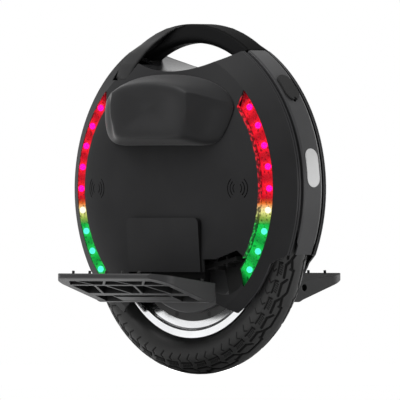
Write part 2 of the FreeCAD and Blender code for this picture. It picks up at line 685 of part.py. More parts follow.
def make_panel(label, turned):
    body = new_body(label, turned)
    outer = shell_stops(0.0)
    inner = [stop for stop in reversed(shell_stops(-size.panel_wall))]
    middle, line = (size.panel_edge + size.lip_edge) / 2, 0.1 * size.lip_width
    half_rise = size.panel_radius + size.lip_rise / 2
    lip = [(-middle - line, half_rise), (-middle, half_rise - 2 * line), (-middle + line, half_rise),
           (-size.lip_edge, size.lip_radius), (-size.lip_edge, inner[0][1] + 0.1)]
    about_shell(body, "Revolution", loop(*outer, *lip, *inner))
    wall = size.bar_wall
    inner_wall = shell_depth(size.bar_inner) - 1.0 - (size.bar_floor - wall)
    for facing in (1, -1):
        bar = (0, size.shell_height, facing)
        side_pad(body, arc_band(size.bar_inner - wall, size.bar_inner, size.bar_inner_angle + 1,
                                size.bar_inner_angle + 1, *bar), size.bar_floor - wall, inner_wall)
        side_pad(body, arc_band(size.bar_inner - wall, size.bar_outer + wall, size.bar_inner_angle + 1,
                                size.bar_outer_angle + 1, *bar), size.bar_floor - wall, "Sizes.bar_wall")
    outside = size.panel_depth + 10
    for facing in (1, -1):
        side_cut(body, bar_outline(0.0, facing), outside, outside - size.bar_floor)
    hollow = size.lip_edge - 3
    keep = panel_outline(-1 if turned else 1)
    side_cut(body, rectangle(-THROUGH, -THROUGH, THROUGH, 2 * THROUGH) + keep, outside, outside - hollow)
    leg, foot = size.handle_leg, size.arm_foot - NOTCH_DROP
    notch = loop((-1.15 * leg, foot), (-0.95 * leg, foot + 47), (-0.638 * leg, foot + 47),
                 (-0.638 * leg, foot + 24), (-0.81 * leg, foot))
    side_cut(body, notch, outside, outside - hollow)
    slots = []
    for place in (-size.speaker_place, size.speaker_place):
        for facing in (-1, 1):
            for share in (0.37, 0.635, 0.9):
                radius = share * size.speaker_radius
                slots += arc_band(radius, radius + size.slot_width, size.slot_angle, size.slot_angle, place,
                                  size.shell_height, facing)
    side_cut(body, slots, outside, outside - size.speaker_face - size.seat_gap)
    holes = []
    for x in (-size.screw_place, size.screw_place):
        holes += ring(x, size.screw_height, size.screw_radius + size.running_fit)
    side_cut(body, holes, outside, 2 * size.panel_wall + 10)


def make_plate(label, turned):
    """Flat pad for the ankle on the lower panel, seated on the panel's curve."""
    body = new_body(label, turned)
    back = size.panel_depth - 2 * size.panel_wall
    foot, top, half = size.panel_foot, size.plate_top, size.plate_half_width
    drawing = sketch(body, "YZ_Plane", loop((-back, foot), (-size.plate_foot_depth, foot),
                                            (-size.plate_top_depth, top), (-back, top)),
                     base=(0, 0, -half))
    feature(body, "Pad", drawing, 2 * half)
    corner = size.plate_corner
    bow = corner * (1 - math.sqrt(0.5))
    keep = loop((half, foot), (half, top - corner), ("via", half - bow, top - bow), (half - corner, top),
                (corner - half, top), ("via", bow - half, top - bow), (-half, top - corner), (-half, foot))
    side_cut(body, rectangle(-THROUGH, -THROUGH, THROUGH, 2 * THROUGH) + keep, size.plate_top_depth + 5,
             size.plate_top_depth)
    about_shell(body, "Groove", loop(*inside_shell(size.seat_gap)))


def shell_depth(radius):
    """Depth of the panel's outer face between the shoulder and the cone."""
    share = (radius - size.shoulder_radius) / (size.cone_radius - size.shoulder_radius)
    return size.shoulder_depth + share * (size.cone_depth - size.shoulder_depth)


def panel_outline(facing):
    """Side view of a panel: saddle on top, lobes below, and a pedal bay at the end that faces forward."""
    edge = size.band_radius + 9.0
    ear = 1.3 * size.handle_leg
    tip = size.shell_height - size.band_radius * math.sin(math.radians(size.band_bottom_angle))
    lobe = math.sqrt(size.panel_radius ** 2 - (size.shell_height - tip) ** 2)
    foot, inner = size.panel_foot, size.plate_half_width + 3.6

    def by_wheel(share, degrees):
        return polar(share * size.tyre_radius, -degrees, size.tyre_radius)

    low = size.shell_height - 0.527 * size.panel_radius
    tail = math.sqrt(size.panel_radius ** 2 - (size.shell_height - low) ** 2)
    tips = [by_wheel(0.797, 46.1), by_wheel(0.659, 50.4)]
    front = [(edge, saddle(ear)), (edge, tip), (lobe, tip), by_wheel(0.904, 14.9),
             ("via", *by_wheel(0.857, 28.4)), *tips, by_wheel(0.6205, 45.0), ("via", *by_wheel(0.7494, 32.1)),
             by_wheel(0.7284, 17.0), by_wheel(0.7193, 14.4), by_wheel(0.674, 12.3), by_wheel(0.5136, 23.6),
             (inner, foot + 18.4), (inner, foot)]
    rear = [(edge, saddle(ear)), (edge, low), (tail, low), *tips, (inner, foot)]
    right, left = (front, rear) if facing > 0 else (rear, front)
    return loop((-ear, saddle(ear)), ("via", 0, size.saddle_height), (ear, saddle(ear)), *right,
                *reversed(mirrored(left)))


def bar_outline(gap, facing):
    """Side view of a light bar, smaller by gap all round."""
    trim = math.degrees(gap / size.bar_inner)
    return arc_band(size.bar_inner + gap, size.bar_outer - gap, size.bar_inner_angle - trim,
                    size.bar_outer_angle - trim, 0, size.shell_height, facing)


def make_light_bars():
    places = (("right_front", 1, False), ("right_rear", -1, False), ("left_rear", 1, True),
              ("left_front", -1, True))
    for place, facing, turned in places:
        face = size.bar_floor + size.board_thickness
        board = new_body("led_board_" + place, turned)
        side_pad(board, bar_outline(size.seat_gap, facing), size.bar_floor, "Sizes.board_thickness")
        side_pad(board, led_outlines(0.0, facing), face, "Sizes.led_height")
        lens = new_body("light_bar_lens_" + place, turned)
        side_pad(lens, bar_outline(size.seat_gap, facing), face, size.bar_face - face)
        side_cut(lens, led_outlines(size.seat_gap, facing), face + size.led_height + size.seat_gap,
                 size.led_height + size.seat_gap)


def led_outlines(gap, facing):
    """Square outlines of the LEDs along a light bar, larger by gap all round."""
    geometry = []
    half = size.led_half_width + gap
    count = int(size.led_count)
    for number in range(count):
        x, z = polar(size.led_radius, (number - (count - 1) / 2) * size.led_pitch, size.shell_height)
        geometry += rectangle(facing * x - half, z - half, facing * x + half, z + half)
    return geometry


def make_band(label, turned, port):
    body = new_body(label, turned)
    outer, half, wall = size.band_radius, size.band_half_width, size.band_wall
    floor, lip = size.groove_floor, size.panel_edge - 2.4
    bevel, fall = size.band_bevel, 0.45 * size.band_bevel
    profile = loop((outer - fall, -half), (outer, bevel - half), (outer, half - bevel), (outer - fall, half),
                   (floor, half),
                   (floor, lip), (floor - wall, lip), (floor - wall, half - wall), (outer - wall, half - wall),
                   (outer - wall, wall - half), (floor - wall, wall - half), (floor - wall, -lip), (floor, -lip),
                   (floor, -half))
    turn = FreeCAD.Rotation(FreeCAD.Vector(0, 1, 0), -size.band_top_angle)
    drawing = sketch(body, "XY_Plane", profile, base=(0, 0, size.shell_height), rotation=turn)
    turned_feature(body, "Revolution", drawing, "V_Axis", "Sizes.band_top_angle + Sizes.band_bottom_angle")
    clear = size.arch_radius + size.arch_wall + 0.3
    wide, deep = size.panel_edge + 10, size.bead_radius
    about_axle(body, "Groove", rectangle(-wide, deep, wide, size.tyre_radius + 2.5))
    about_axle(body, "Groove", rectangle(-wide, deep, -half + wall + 0.1, clear)
               + rectangle(half - wall - 0.1, deep, wide, clear))
    gap = size.seat_gap
    drawing = radial_sketch(body, stadium(0, 0, size.lamp_width + gap, size.lamp_height + gap), size.lamp_angle,
                            outer + 5)
    feature(body, "Pocket", drawing, 25.0)
    if port:
        holes = ring(0, 0, size.socket_radius + size.running_fit) + finger_hole()
        drawing = radial_sketch(body, holes, size.port_angle, outer + 5)
        feature(body, "Pocket", drawing, 25.0)


def finger_hole():
    """Round hole across the lower end of the port cover, to lift it by."""
    return ring(0, 0.4 * size.finger_hole_radius - size.port_length / 2, size.finger_hole_radius)


def make_lens(label, turned):
    body = new_body(label, turned)
    outer = size.band_radius + 1.0
    drawing = radial_sketch(body, stadium(0, 0, size.lamp_width, size.lamp_height), size.lamp_angle, outer - 12)
    feature(body, "Pad", drawing, 16.0)
    about_shell(body, "Groove", rectangle(-60, outer, 60, outer + 40)
                + rectangle(-60, 0, 60, outer - size.lens_thickness))


def make_port():
    socket = new_body("charge_socket")
    front = size.band_radius - 0.5
    drawing = radial_sketch(socket, ring(0, 0, size.socket_radius), size.port_angle, front - size.socket_length)
    feature(socket, "Pad", drawing, "Sizes.socket_length")
    drawing = radial_sketch(socket, ring(0, 0, size.socket_bore), size.port_angle, front + 5)
    feature(socket, "Pocket", drawing, "Sizes.socket_length")
    cover = new_body("port_cover")
    inner = size.band_radius + size.seat_gap
    outer = inner + size.port_cover_thickness
    drawing = radial_sketch(cover, stadium(0, 0, size.port_width, size.port_length), size.port_angle, inner - 6)
    feature(cover, "Pad", drawing, 20.0)
    feature(cover, "Pocket", radial_sketch(cover, finger_hole(), size.port_angle, outer + 15), 30.0)
    about_shell(cover, "Groove", rectangle(-60, outer, 60, outer + 40) + rectangle(-60, 0, 60, inner))


def make_deck():
    body = new_body("top_deck")
    reach = size.handle_leg - 5
    wall = size.deck_wall
    width = size.shoulder_depth + 4
    drawing = sketch(body, "XZ_Plane", loop(
        (reach, saddle(reach)), ("via", 0, saddle(0)), (-reach, saddle(reach)), (-reach, saddle(reach, wall)),
        ("via", 0, saddle(0, wall)), (reach, saddle(reach, wall))), base=(0, 0, -width))
    feature(body, "Pad", drawing, 2 * width)
    about_shell(body, "Groove", both(outside_shell(-size.panel_wall - 0.2)))
    arm = size.arm_depth + 30
    slot = size.handle_half_width + 4
    near, far = 0.6 * size.handle_leg, 1.2 * size.handle_leg
    slots = rectangle(-far, -arm, -near, -slot) + rectangle(near, slot, far, arm)
    drawing = sketch(body, "XY_Plane", slots + ring(size.button_place, 0, size.button_radius + 0.1),
                     base=(0, 0, size.handle_top))
    feature(body, "Pocket", drawing, 2 * size.handle_rise)


def make_button():
    body = new_body("power_button")
    top = saddle(size.button_place) + size.button_rise
    height = size.deck_wall + size.button_rise + size.button_travel
    drawing = sketch(body, "XY_Plane", ring(size.button_place, 0, size.button_radius), base=(0, 0, top - height))
    feature(body, "Pad", drawing, height)


def make_knee_pad(label, turned):
    body = new_body(label, turned)
    foot, top, wide = size.pad_foot, size.pad_top, size.pad_widest
    base = loop((0.81 * wide, foot), (wide, foot + 58), (0.8 * wide, top - 18), (0.5 * wide, top - 4),
                ("via", 0, top), (-0.5 * wide, top - 4), (-0.8 * wide, top - 18), (-wide, foot + 58),
                (-0.81 * wide, foot), ("via", 0, foot + 3))
    face = loop((0.6 * wide, foot + 10), (0.66 * wide, foot + 58), (0.6 * wide, top - 24), (0.4 * wide, top - 15),
                ("via", 0, top - 12), (-0.4 * wide, top - 15), (-0.6 * wide, top - 24), (-0.66 * wide, foot + 58),
                (-0.6 * wide, foot + 10), ("via", 0, foot + 12))
    seat = size.shoulder_depth - 1
    low = sketch(body, "XZ_Plane", base, base=(0, 0, seat))
    high = sketch(body, "XZ_Plane", face, base=(0, 0, size.pad_depth - 6))
    loft = body.newObject("PartDesign::AdditiveLoft", label + "_loft")
    loft.Profile = low
    loft.Sections = [high]
    loft.Ruled = True
    doc.recompute()
    dome = body.newObject("PartDesign::Pad", label + "_crown")
    dome.Profile = high
    dome.Length = 6
    dome.TaperAngle = -35
    skirt = sketch(body, "XZ_Plane", base, base=(0, 0, seat))
    feature(body, "Pad", skirt, "Sizes.cone_drop + 8").Reversed = True
    about_shell(body, "Groove", loop(*inside_shell(size.seat_gap)))


def make_inner_pieces():
    for label, turned in (("battery_right", False), ("battery_left", True)):
        body = new_body(label, turned)
        half = size.battery_half_length
        top = size.battery_foot + size.battery_height
        side_pad(body, rectangle(-half, size.battery_foot, half, top), "Sizes.arch_half_width",
                 "Sizes.battery_thickness")
        round_edges(body, 3.0, lambda edge: abs(edge.tangentAt(edge.FirstParameter).y) > 0.99)
    speakers = []
    for x in (-size.speaker_place, size.speaker_place):
        for side in (-1, 1):
            speakers.append(rod("speaker", "Sizes.speaker_radius",
                                "Sizes.panel_depth - Sizes.speaker_drop - Sizes.arch_half_width",
                                (x, side * size.arch_half_width, size.shell_height), (0, side, 0)))
    group("speakers", speakers)
    screws = []
    for x in (-size.screw_place, size.screw_place):
        for side in (-1, 1):
            screws.append(rod("panel_screw", "Sizes.screw_radius", "6.4 * Sizes.screw_radius",
                              (x, side * (size.panel_depth - 18), size.screw_height), (0, side, 0)))
    group("panel_screws", screws)
    seat = size.arch_radius + size.arch_wall
    for label, height, rise in (("heat_sink", "Sizes.sink_height", 0.0),
                                ("control_board", "Sizes.board_height", size.sink_height)):
        block = doc.addObject("Part::Box", label)
        block.Label = label
        block.setExpression("Length", "Sizes.board_length")
        block.setExpression("Width", "Sizes.board_width")
        block.setExpression("Height", height)
        turn = FreeCAD.Rotation(FreeCAD.Vector(0, 1, 0), -45)
        corner = turn.multVec(FreeCAD.Vector(-size.board_length / 2, -size.board_width / 2, seat + rise))
        block.Placement = FreeCAD.Placement(corner + FreeCAD.Vector(0, 0, size.tyre_radius), turn)
        nodes.append(block)


def make_cable():
    """Motor lead from the axle's end up to its entry in the wheel arch."""
    cable = doc.addObject("Part::Feature", "motor_cable")
    start = axle_end()
    radius = size.cable_radius
    bend = 3.2 * radius
    out = start + 1.0 + bend
    top = size.shell_height + radius
    points = [(0, -start, size.tyre_radius), (0, -start - 1, size.tyre_radius),
              (0, -out + bend * (1 - math.sqrt(0.5)), size.tyre_radius + bend * (1 - math.sqrt(0.5))),
              (0, -out, size.tyre_radius + bend), (0, -out, top - bend),
              (0, -out + bend * (1 - math.sqrt(0.5)), top - bend * (1 - math.sqrt(0.5))),
              (0, -out + bend, top), (0, -size.arch_half_width, top)]
    spots = [FreeCAD.Vector(*point) for point in points]
    path = Part.Wire([Part.LineSegment(spots[0], spots[1]).toShape(), Part.Arc(*spots[1:4]).toShape(),
                      Part.LineSegment(spots[3], spots[4]).toShape(), Part.Arc(*spots[4:7]).toShape(),
                      Part.LineSegment(spots[6], spots[7]).toShape()])
    section = Part.Wire(Part.Circle(spots[0], FreeCAD.Vector(0, -1, 0), radius).toShape())
    cable.Shape = path.makePipeShell([section], True, False)
    cable.Label = "motor_cable"
    nodes.append(cable)


# Handle

def make_grip():
    body = new_body("handle_grip")
    centre = size.handle_top - size.handle_radius
    inner = size.handle_radius - size.handle_thickness
    leg = size.handle_leg
    outer_end = centre + math.sqrt(size.handle_radius ** 2 - leg ** 2)
    inner_leg = leg_place(inner, 0.0)
    inner_end = saddle(inner_leg) + size.slide_gap
    foot = (leg, saddle(leg) + size.slide_gap)
    drawing = sketch(body, "XZ_Plane", loop(
        (leg, outer_end), ("via", 0, size.handle_top), (-leg, outer_end), (-foot[0], foot[1]),
        (-inner_leg, inner_end), ("via", 0, centre + inner), (inner_leg, inner_end), foot),
        bound={"z": "-Sizes.handle_half_width"})
    feature(body, "Pad", drawing, "2 * Sizes.handle_half_width")
    round_edges(body, "Sizes.grip_rounding",
                lambda edge: edge.Length > 150 and edge.BoundBox.ZMax < centre + inner + 1)
    round_edges(body, 2.5, lambda edge: edge.Length > 200 and edge.BoundBox.ZMax > size.handle_top - 1)


def make_arm(label, turned):
    """Flared arm that carries the grip down into the notch of the side panel."""
    body = new_body(label, turned)
    half, depth, thick = size.handle_half_width, size.arm_depth, size.arm_thickness
    leg, foot = size.handle_leg, size.arm_foot
    rise = size.handle_top - foot
    stations = ((0.0, 1.095, 0.845, depth, depth - 4.5), (0.25, 1.052, 0.747, depth - 3, depth - 6.5),
                (0.46, 0.948, 0.641, depth - 8.5, depth - 12), (0.66, 0.78, 0.507, depth - 14, half),
                (0.82, 0.599, 0.366, half + 6, half), (0.92, 0.414, 0.24, half + 3, half),
                (0.965, 0.207, 0.103, half + 1, half))
    drawings = []
    for share, outer_share, crease_share, face, back in stations:
        outer, crease = -outer_share * leg, -crease_share * leg
        outline = loop((outer, -back), (outer, -face + 0.6 * (face - back)), (crease, -face), (crease, -back))
        drawings.append(sketch(body, "XY_Plane", outline, base=(0, 0, foot + share * rise)))
    loft = body.newObject("PartDesign::AdditiveLoft", label + "_loft")
    loft.Profile = drawings[0]
    loft.Sections = drawings[1:]
    loft.Ruled = True
    strip = rectangle(-ARM_STRIP * leg, -depth, -0.845 * leg, -depth + thick)
    feature(body, "Pad", sketch(body, "XY_Plane", strip, base=(0, 0, size.guide_top + 6)),
            foot - size.guide_top - 6)


def make_trolley_tubes():
    fit = " + Sizes.tube_fit"
    middle = "Sizes.rod_radius + Sizes.middle_wall"
    sets = (("trolley_guides", middle + " + Sizes.guide_wall", middle + fit, 0.0, 0.0),
            ("trolley_middle_tubes", middle, "Sizes.rod_radius" + fit, 2.0, 2.0),
            ("trolley_rods", "Sizes.rod_radius", None, 4.0, 6.0))
    for label, radius, bore, foot, top in sets:
        tubes = []
        for side in (-1, 1):
            place = (side * size.rod_place, side * size.rod_depth, size.guide_foot + foot)
            height = "%.3f" % (size.guide_length + top - foot)
            tubes.append(rod(label + "_tube", radius, height, place, (0, 0, 1), bore))
        group(label, tubes)


# Pedals

def pedal_top(depth):
    return size.pedal_top_inner + (depth - size.pedal_inner) * math.tan(math.radians(size.pedal_slope))


def pedal_lean():
    return FreeCAD.Rotation(FreeCAD.Vector(1, 0, 0), -size.pedal_slope)


def make_pedal(label, turned):
    """Wedge-shaped pedal with a closed top and a lattice of pockets underneath."""
    body = new_body(label, turned)
    inner, outer, half = size.pedal_inner, size.pedal_outer, size.pedal_half_length
    tip, sole = size.pedal_tip, size.pedal_top_inner - size.pedal_heel
    drawing = sketch(body, "YZ_Plane", loop(
        (-inner, size.pedal_top_inner), (-inner, sole + 8), ("via", -inner - 3, sole + 2), (-inner - 9, sole),
        ("via", -inner - 14, sole + 0.9), (-inner - 18, sole + 3), (-outer + 3, pedal_top(outer) - tip),
        ("via", -outer, pedal_top(outer) - tip / 2), (-outer + 2, pedal_top(outer - 2))),
        bound={"z": "-Sizes.pedal_half_length"})
    feature(body, "Pad", drawing, "2 * Sizes.pedal_half_length")
    corner = size.pedal_corner
    bow = corner * (1 - math.sqrt(0.5))
    edge = outer + 2
    keep = loop((half, 2 - inner), (half, corner - edge), ("via", half - bow, bow - edge), (half - corner, -edge),
                (corner - half, -edge), ("via", bow - half, bow - edge), (-half, corner - edge), (-half, 2 - inner))
    high = (0, 0, pedal_top(outer) + 20)
    depth = pedal_top(outer) + 20 - sole + 10
    feature(body, "Pocket", sketch(body, "XY_Plane", rectangle(-THROUGH, -THROUGH, THROUGH, 0) + keep, base=high),
            depth)
    notch = size.block_half_width + 2
    clear = size.pin_depth + math.hypot(size.block_radius, size.block_radius) + 1
    floor = size.pin_height - size.block_radius - size.slide_gap
    feature(body, "Pocket", sketch(body, "XY_Plane", rectangle(-notch, -clear, notch, -inner + 10), base=high),
            high[2] - floor)
    ear = [(notch + 3, -size.pin_depth - 16), (notch + 38, -size.pin_depth - 16),
           (notch + 38, -size.pin_depth + 7), (notch + 3, -size.pin_depth + 7)]
    feature(body, "Pocket", sketch(body, "XY_Plane", both(ear), base=(0, 0, size.pin_height - 1.4 * size.pin_radius)),
            "Sizes.pedal_heel")
    under = (0, -inner, size.pedal_top_inner - size.pedal_skin)
    drawing = sketch(body, "XY_Plane", pedal_openings(clear + 7 - inner, outer - 13 - inner), base=under,
                     rotation=pedal_lean())
    feature(body, "Pocket", drawing, "2 * Sizes.pedal_heel")
    drawing = sketch(body, "YZ_Plane", ring(-size.pin_depth, size.pin_height, size.pin_radius + size.running_fit),
                     bound={"z": "Sizes.pin_half_length + 1"})
    feature(body, "Pocket", drawing, "Sizes.pin_half_length + Sizes.pedal_half_length + 10")


def pedal_openings(inner, outer):
    """Two rows of slanted openings with a lattice of ribs between them, measured out from the inner edge."""
    geometry = []
    rib, count = 5.0, 5
    middle = inner + 0.66 * (outer - inner)
    reach = size.pedal_half_length - 12
    cell = 2 * reach / count
    for row, (near, far) in enumerate(((inner, middle - rib / 2), (middle + rib / 2, outer))):
        for column in range(count):
            lean = 0.22 * cell * (1 if (row + column) % 2 else -1)
            start = -reach + column * cell + rib / 2
            end = start + cell - rib
            left = lean if column else 0.0
            right = -lean if column < count - 1 else 0.0
            inset = 14.0 if row and column in (0, count - 1) else 0.0
            first = inset if column == 0 else 0.0
            last = inset if column == count - 1 else 0.0
            geometry += loop((start - left, -near), (end - right, -near), (end + right - last, -far),
                             (start + left + first, -far))
    return geometry


def make_studs(label, turned):
    studs = []
    up = pedal_lean().multVec(FreeCAD.Vector(0, 0, 1))
    half = size.pedal_half_length
    for depth, shares in ((size.pedal_outer - 5, (-0.6, -0.3, 0.0, 0.3, 0.6)),
                          (size.pin_depth - 6, (-0.9, -0.6, 0.6, 0.9))):
        for share in shares:
            studs.append(rod(label + "_stud", "Sizes.stud_radius", "Sizes.stud_height",
                             (share * half, -depth, pedal_top(depth)), tuple(up)))
    group(label, studs, turned)


make_tyre()
make_inner_tube()
make_valve()
make_rim()
for side_label, is_turned in (("right", False), ("left", True)):
    make_motor_cover("motor_cover_" + side_label, is_turned)
    make_hanger("pedal_hanger_" + side_label, is_turned)
    make_panel("side_panel_" + side_label, is_turned)
    make_plate("ankle_plate_" + side_label, is_turned)
    make_knee_pad("knee_pad_" + side_label, is_turned)
    make_arm("handle_arm_" + side_label, is_turned)
    make_pedal("pedal_" + side_label, is_turned)
    make_studs("pedal_studs_" + side_label, is_turned)
make_cover_bolts()
make_motor()
make_bearings()
make_axle()
make_axle_nuts()
make_wheel_arch()
make_hanger_bolts()
make_pins()
make_light_bars()
make_band("front_cover", False, True)
make_band("rear_cover", True, False)
make_lens("headlight_lens", False)
make_lens("tail_light_lens", True)
make_port()
make_deck()
make_button()
make_inner_pieces()
make_cable()
make_grip()
make_trolley_tubes()

doc.recompute()
faults = [item.Label for item in doc.Objects if "Invalid" in item.State or "Error" in item.State]
for node in nodes:
    if node.Shape.isNull() or not node.Shape.isValid() or not node.Shape.Solids:
        faults.append(node.Label + " has no sound solid")
if faults:
    raise RuntimeError("failed: " + ", ".join(faults))

os.makedirs("parts", exist_ok=True)
for node in nodes:
    node.Shape.exportStep("parts/%s.step" % node.Label)
    print("%-28s solids %2d volume %10.1f" % (node.Label, len(node.Shape.Solids), node.Shape.Volume))
print(len(nodes), "nodes")
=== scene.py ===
import json
import math

import bpy
import numpy as np
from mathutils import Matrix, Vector


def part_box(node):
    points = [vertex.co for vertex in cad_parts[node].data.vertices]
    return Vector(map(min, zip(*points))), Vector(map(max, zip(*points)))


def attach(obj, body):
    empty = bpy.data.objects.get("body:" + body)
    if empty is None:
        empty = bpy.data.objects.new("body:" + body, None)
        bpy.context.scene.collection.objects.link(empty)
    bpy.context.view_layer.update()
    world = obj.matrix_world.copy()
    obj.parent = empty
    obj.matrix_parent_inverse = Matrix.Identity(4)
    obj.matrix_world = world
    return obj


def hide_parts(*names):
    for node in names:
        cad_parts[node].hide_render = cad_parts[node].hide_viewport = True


# Electric unicycle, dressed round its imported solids. Lengths are in metres, heights above the floor.

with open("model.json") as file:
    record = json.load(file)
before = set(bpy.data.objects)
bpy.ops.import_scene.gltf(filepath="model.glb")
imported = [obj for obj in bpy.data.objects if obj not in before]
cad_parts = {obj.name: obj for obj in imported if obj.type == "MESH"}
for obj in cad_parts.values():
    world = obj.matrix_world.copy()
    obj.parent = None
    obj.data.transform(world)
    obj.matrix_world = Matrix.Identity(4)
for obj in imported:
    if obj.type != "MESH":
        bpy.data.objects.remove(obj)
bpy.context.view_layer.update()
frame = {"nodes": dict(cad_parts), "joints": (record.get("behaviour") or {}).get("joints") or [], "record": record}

MM = 0.001
SIDES = {"right": 1.0, "left": -1.0}
BARS = ("right_front", "right_rear", "left_front", "left_rear")

# Places read from the frame, and the shell's height as a given number
AXLE = Vector(next(joint["pos_m"] for joint in frame["joints"] if joint["name"] == "wheel_spin"))
TYRE_RADIUS = AXLE.z
SHELL_HEIGHT = 268.4 * MM


# Materials

LED_PITCH = 9.38
BAR_FADE, BAR_END = math.radians(40.5), math.radians(44.0)
GROOVE_INNER, GROOVE_OUTER = 0.176, 0.2
EDGE_RADIUS = 0.17
COVER_FACE_RADIUS = 0.121
POCKET_REACH = 0.045


def grey(level, cool=0.0):
    return (level, level, level + cool)


def shade(colour, factor):
    return tuple(min(1.0, part * factor) for part in colour)


def new_material(name):
    material = bpy.data.materials.new(name)
    material.use_nodes = True
    return material, material.node_tree, material.node_tree.nodes["Principled BSDF"]


def object_position(tree):
    return tree.nodes.new("ShaderNodeTexCoord").outputs["Object"]


def position_parts(tree):
    """X, Y and Z of a place, in the piece's own frame."""
    split = tree.nodes.new("ShaderNodeSeparateXYZ")
    tree.links.new(object_position(tree), split.inputs["Vector"])
    return split.outputs


def noise(tree, scale, detail=2.0):
    texture = tree.nodes.new("ShaderNodeTexNoise")
    texture.inputs["Scale"].default_value = scale
    texture.inputs["Detail"].default_value = detail
    tree.links.new(object_position(tree), texture.inputs["Vector"])
    return texture.outputs["Fac"]


def attribute(tree, name):
    node = tree.nodes.new("ShaderNodeAttribute")
    node.attribute_name = name
    return node.outputs["Fac"]


def calculate(tree, operation, first, second):
    """One step of arithmetic on sockets or plain numbers."""
    node = tree.nodes.new("ShaderNodeMath")
    node.operation = operation
    for socket, value in zip(node.inputs, (first, second)):
        if isinstance(value, (int, float)):
            socket.default_value = value
        else:
            tree.links.new(value, socket)
    return node.outputs["Value"]


def map_range(tree, value, start, end, first, last):
    """Value that goes from first to last while another goes from start to end, and stays there."""
    node = tree.nodes.new("ShaderNodeMapRange")
    for socket, number in (("From Min", start), ("From Max", end), ("To Min", first), ("To Max", last)):
        node.inputs[socket].default_value = number
    tree.links.new(value, node.inputs["Value"])
    return node.outputs["Result"]


def spread(tree, value, low, high):
    """Maps a 0 to 1 value onto a range."""
    return map_range(tree, value, 0.0, 1.0, low, high)


def mixer(tree, kind):
    """New mix of two colours (RGBA) or numbers (VALUE): its factor, first, second and result sockets."""
    node = tree.nodes.new("ShaderNodeMix")
    node.data_type = "RGBA" if kind == "RGBA" else "FLOAT"
    first, second = (item for item in node.inputs if item.name in ("A", "B") and item.type == kind)
    result = next(item for item in node.outputs if item.type == kind)
    return node.inputs[0], first, second, result


def tint(tree, value, dark, light):
    """Colour between two shades by a 0 to 1 value."""
    ramp = tree.nodes.new("ShaderNodeValToRGB")
    ramp.color_ramp.elements[0].position = 0.3
    ramp.color_ramp.elements[1].position = 0.7
    ramp.color_ramp.elements[0].color = (*dark, 1.0)
    ramp.color_ramp.elements[1].color = (*light, 1.0)
    tree.links.new(value, ramp.inputs["Fac"])
    return ramp.outputs["Color"]


def height_ramp(tree, stops):
    """Colour by height above the floor, through (height, colour) stops."""
    low, high = stops[0][0], stops[-1][0]
    ramp = tree.nodes.new("ShaderNodeValToRGB")
    elements = ramp.color_ramp.elements
    while len(elements) < len(stops):
        elements.new(0.5)
    for element, (height, colour) in zip(elements, stops):
        element.position = (height - low) / (high - low)
        element.color = (*colour, 1.0)
    tree.links.new(map_range(tree, position_parts(tree)["Z"], low, high, 0.0, 1.0), ramp.inputs["Fac"])
    return ramp.outputs["Color"]


def relief(tree, shader, height, strength, distance, edge):
    """Bump from a height, on edges that are rounded by the given radius."""
    bump = tree.nodes.new("ShaderNodeBump")
    bump.inputs["Strength"].default_value = strength
    bump.inputs["Distance"].default_value = distance
    tree.links.new(height, bump.inputs["Height"])
    if edge:
        bevel = tree.nodes.new("ShaderNodeBevel")
        bevel.samples = 6
        bevel.inputs["Radius"].default_value = edge
        tree.links.new(bevel.outputs["Normal"], bump.inputs["Normal"])
    tree.links.new(bump.outputs["Normal"], shader.inputs["Normal"])


# Where on a piece a finish, a painted highlight or a painted shade changes

def facing(tree, axis, low, high):
    """1 where a component of the normal, in the piece's own frame, lies between two values, else 0."""
    split = tree.nodes.new("ShaderNodeSeparateXYZ")
    tree.links.new(tree.nodes.new("ShaderNodeTexCoord").outputs["Normal"], split.inputs["Vector"])
    above = calculate(tree, "GREATER_THAN", split.outputs[axis], low)
    return calculate(tree, "MULTIPLY", above, calculate(tree, "LESS_THAN", split.outputs[axis], high))


def beyond(tree, radius, height):
    """1 outside a radius about a cross axis at the given height, else 0."""
    place = position_parts(tree)
    above = calculate(tree, "SUBTRACT", place["Z"], height)
    square = calculate(tree, "ADD", calculate(tree, "POWER", above, 2.0),
                       calculate(tree, "POWER", place["X"], 2.0))
    return calculate(tree, "GREATER_THAN", square, radius ** 2)


def painted_edge_highlight(tree):
    """1 on the side panels' edges and on the walls of their light bar grooves, where a lighter colour is painted
    on as highlight, else 0.
    """
    return calculate(tree, "MULTIPLY", facing(tree, "Y", -0.3, 0.3), beyond(tree, EDGE_RADIUS, SHELL_HEIGHT))


def painted_pocket_shade(tree):
    """Painted shade: 1 deep inside pockets narrower than the reach, 0 on open faces."""
    node = tree.nodes.new("ShaderNodeAmbientOcclusion")
    node.samples = 8
    node.inputs["Distance"].default_value = POCKET_REACH
    return map_range(tree, node.outputs["AO"], 0.45, 0.85, 1.0, 0.0)


def bar_angle(tree):
    """Angle of a place on a light bar, from its middle."""
    place = position_parts(tree)
    ahead = calculate(tree, "ABSOLUTE", place["X"], 0.0)
    above = calculate(tree, "SUBTRACT", place["Z"], SHELL_HEIGHT)
    return calculate(tree, "ARCTAN2", above, ahead)


# Kinds of finish

def moulded(name, colour, roughness, grain, strength, specular=0.3, edge=0.8 * MM, metallic=0.0,
            mottle=0.12, sheen=0.0):
    """Plain moulded or cast surface with fine grain and a slight change of tone."""
    material, tree, shader = new_material(name)
    shader.inputs["Metallic"].default_value = metallic
    shader.inputs["Specular IOR Level"].default_value = specular
    shader.inputs["Sheen Weight"].default_value = sheen
    shader.inputs["Sheen Roughness"].default_value = 0.35
    broad = noise(tree, 14.0, 3.0)
    tree.links.new(tint(tree, broad, shade(colour, 1 - mottle), shade(colour, 1 + mottle)),
                   shader.inputs["Base Color"])
    fine = noise(tree, grain, 3.0)
    tree.links.new(spread(tree, fine, roughness - 0.06, roughness + 0.06), shader.inputs["Roughness"])
    relief(tree, shader, fine, strength, 0.2 * MM, edge)
    return material


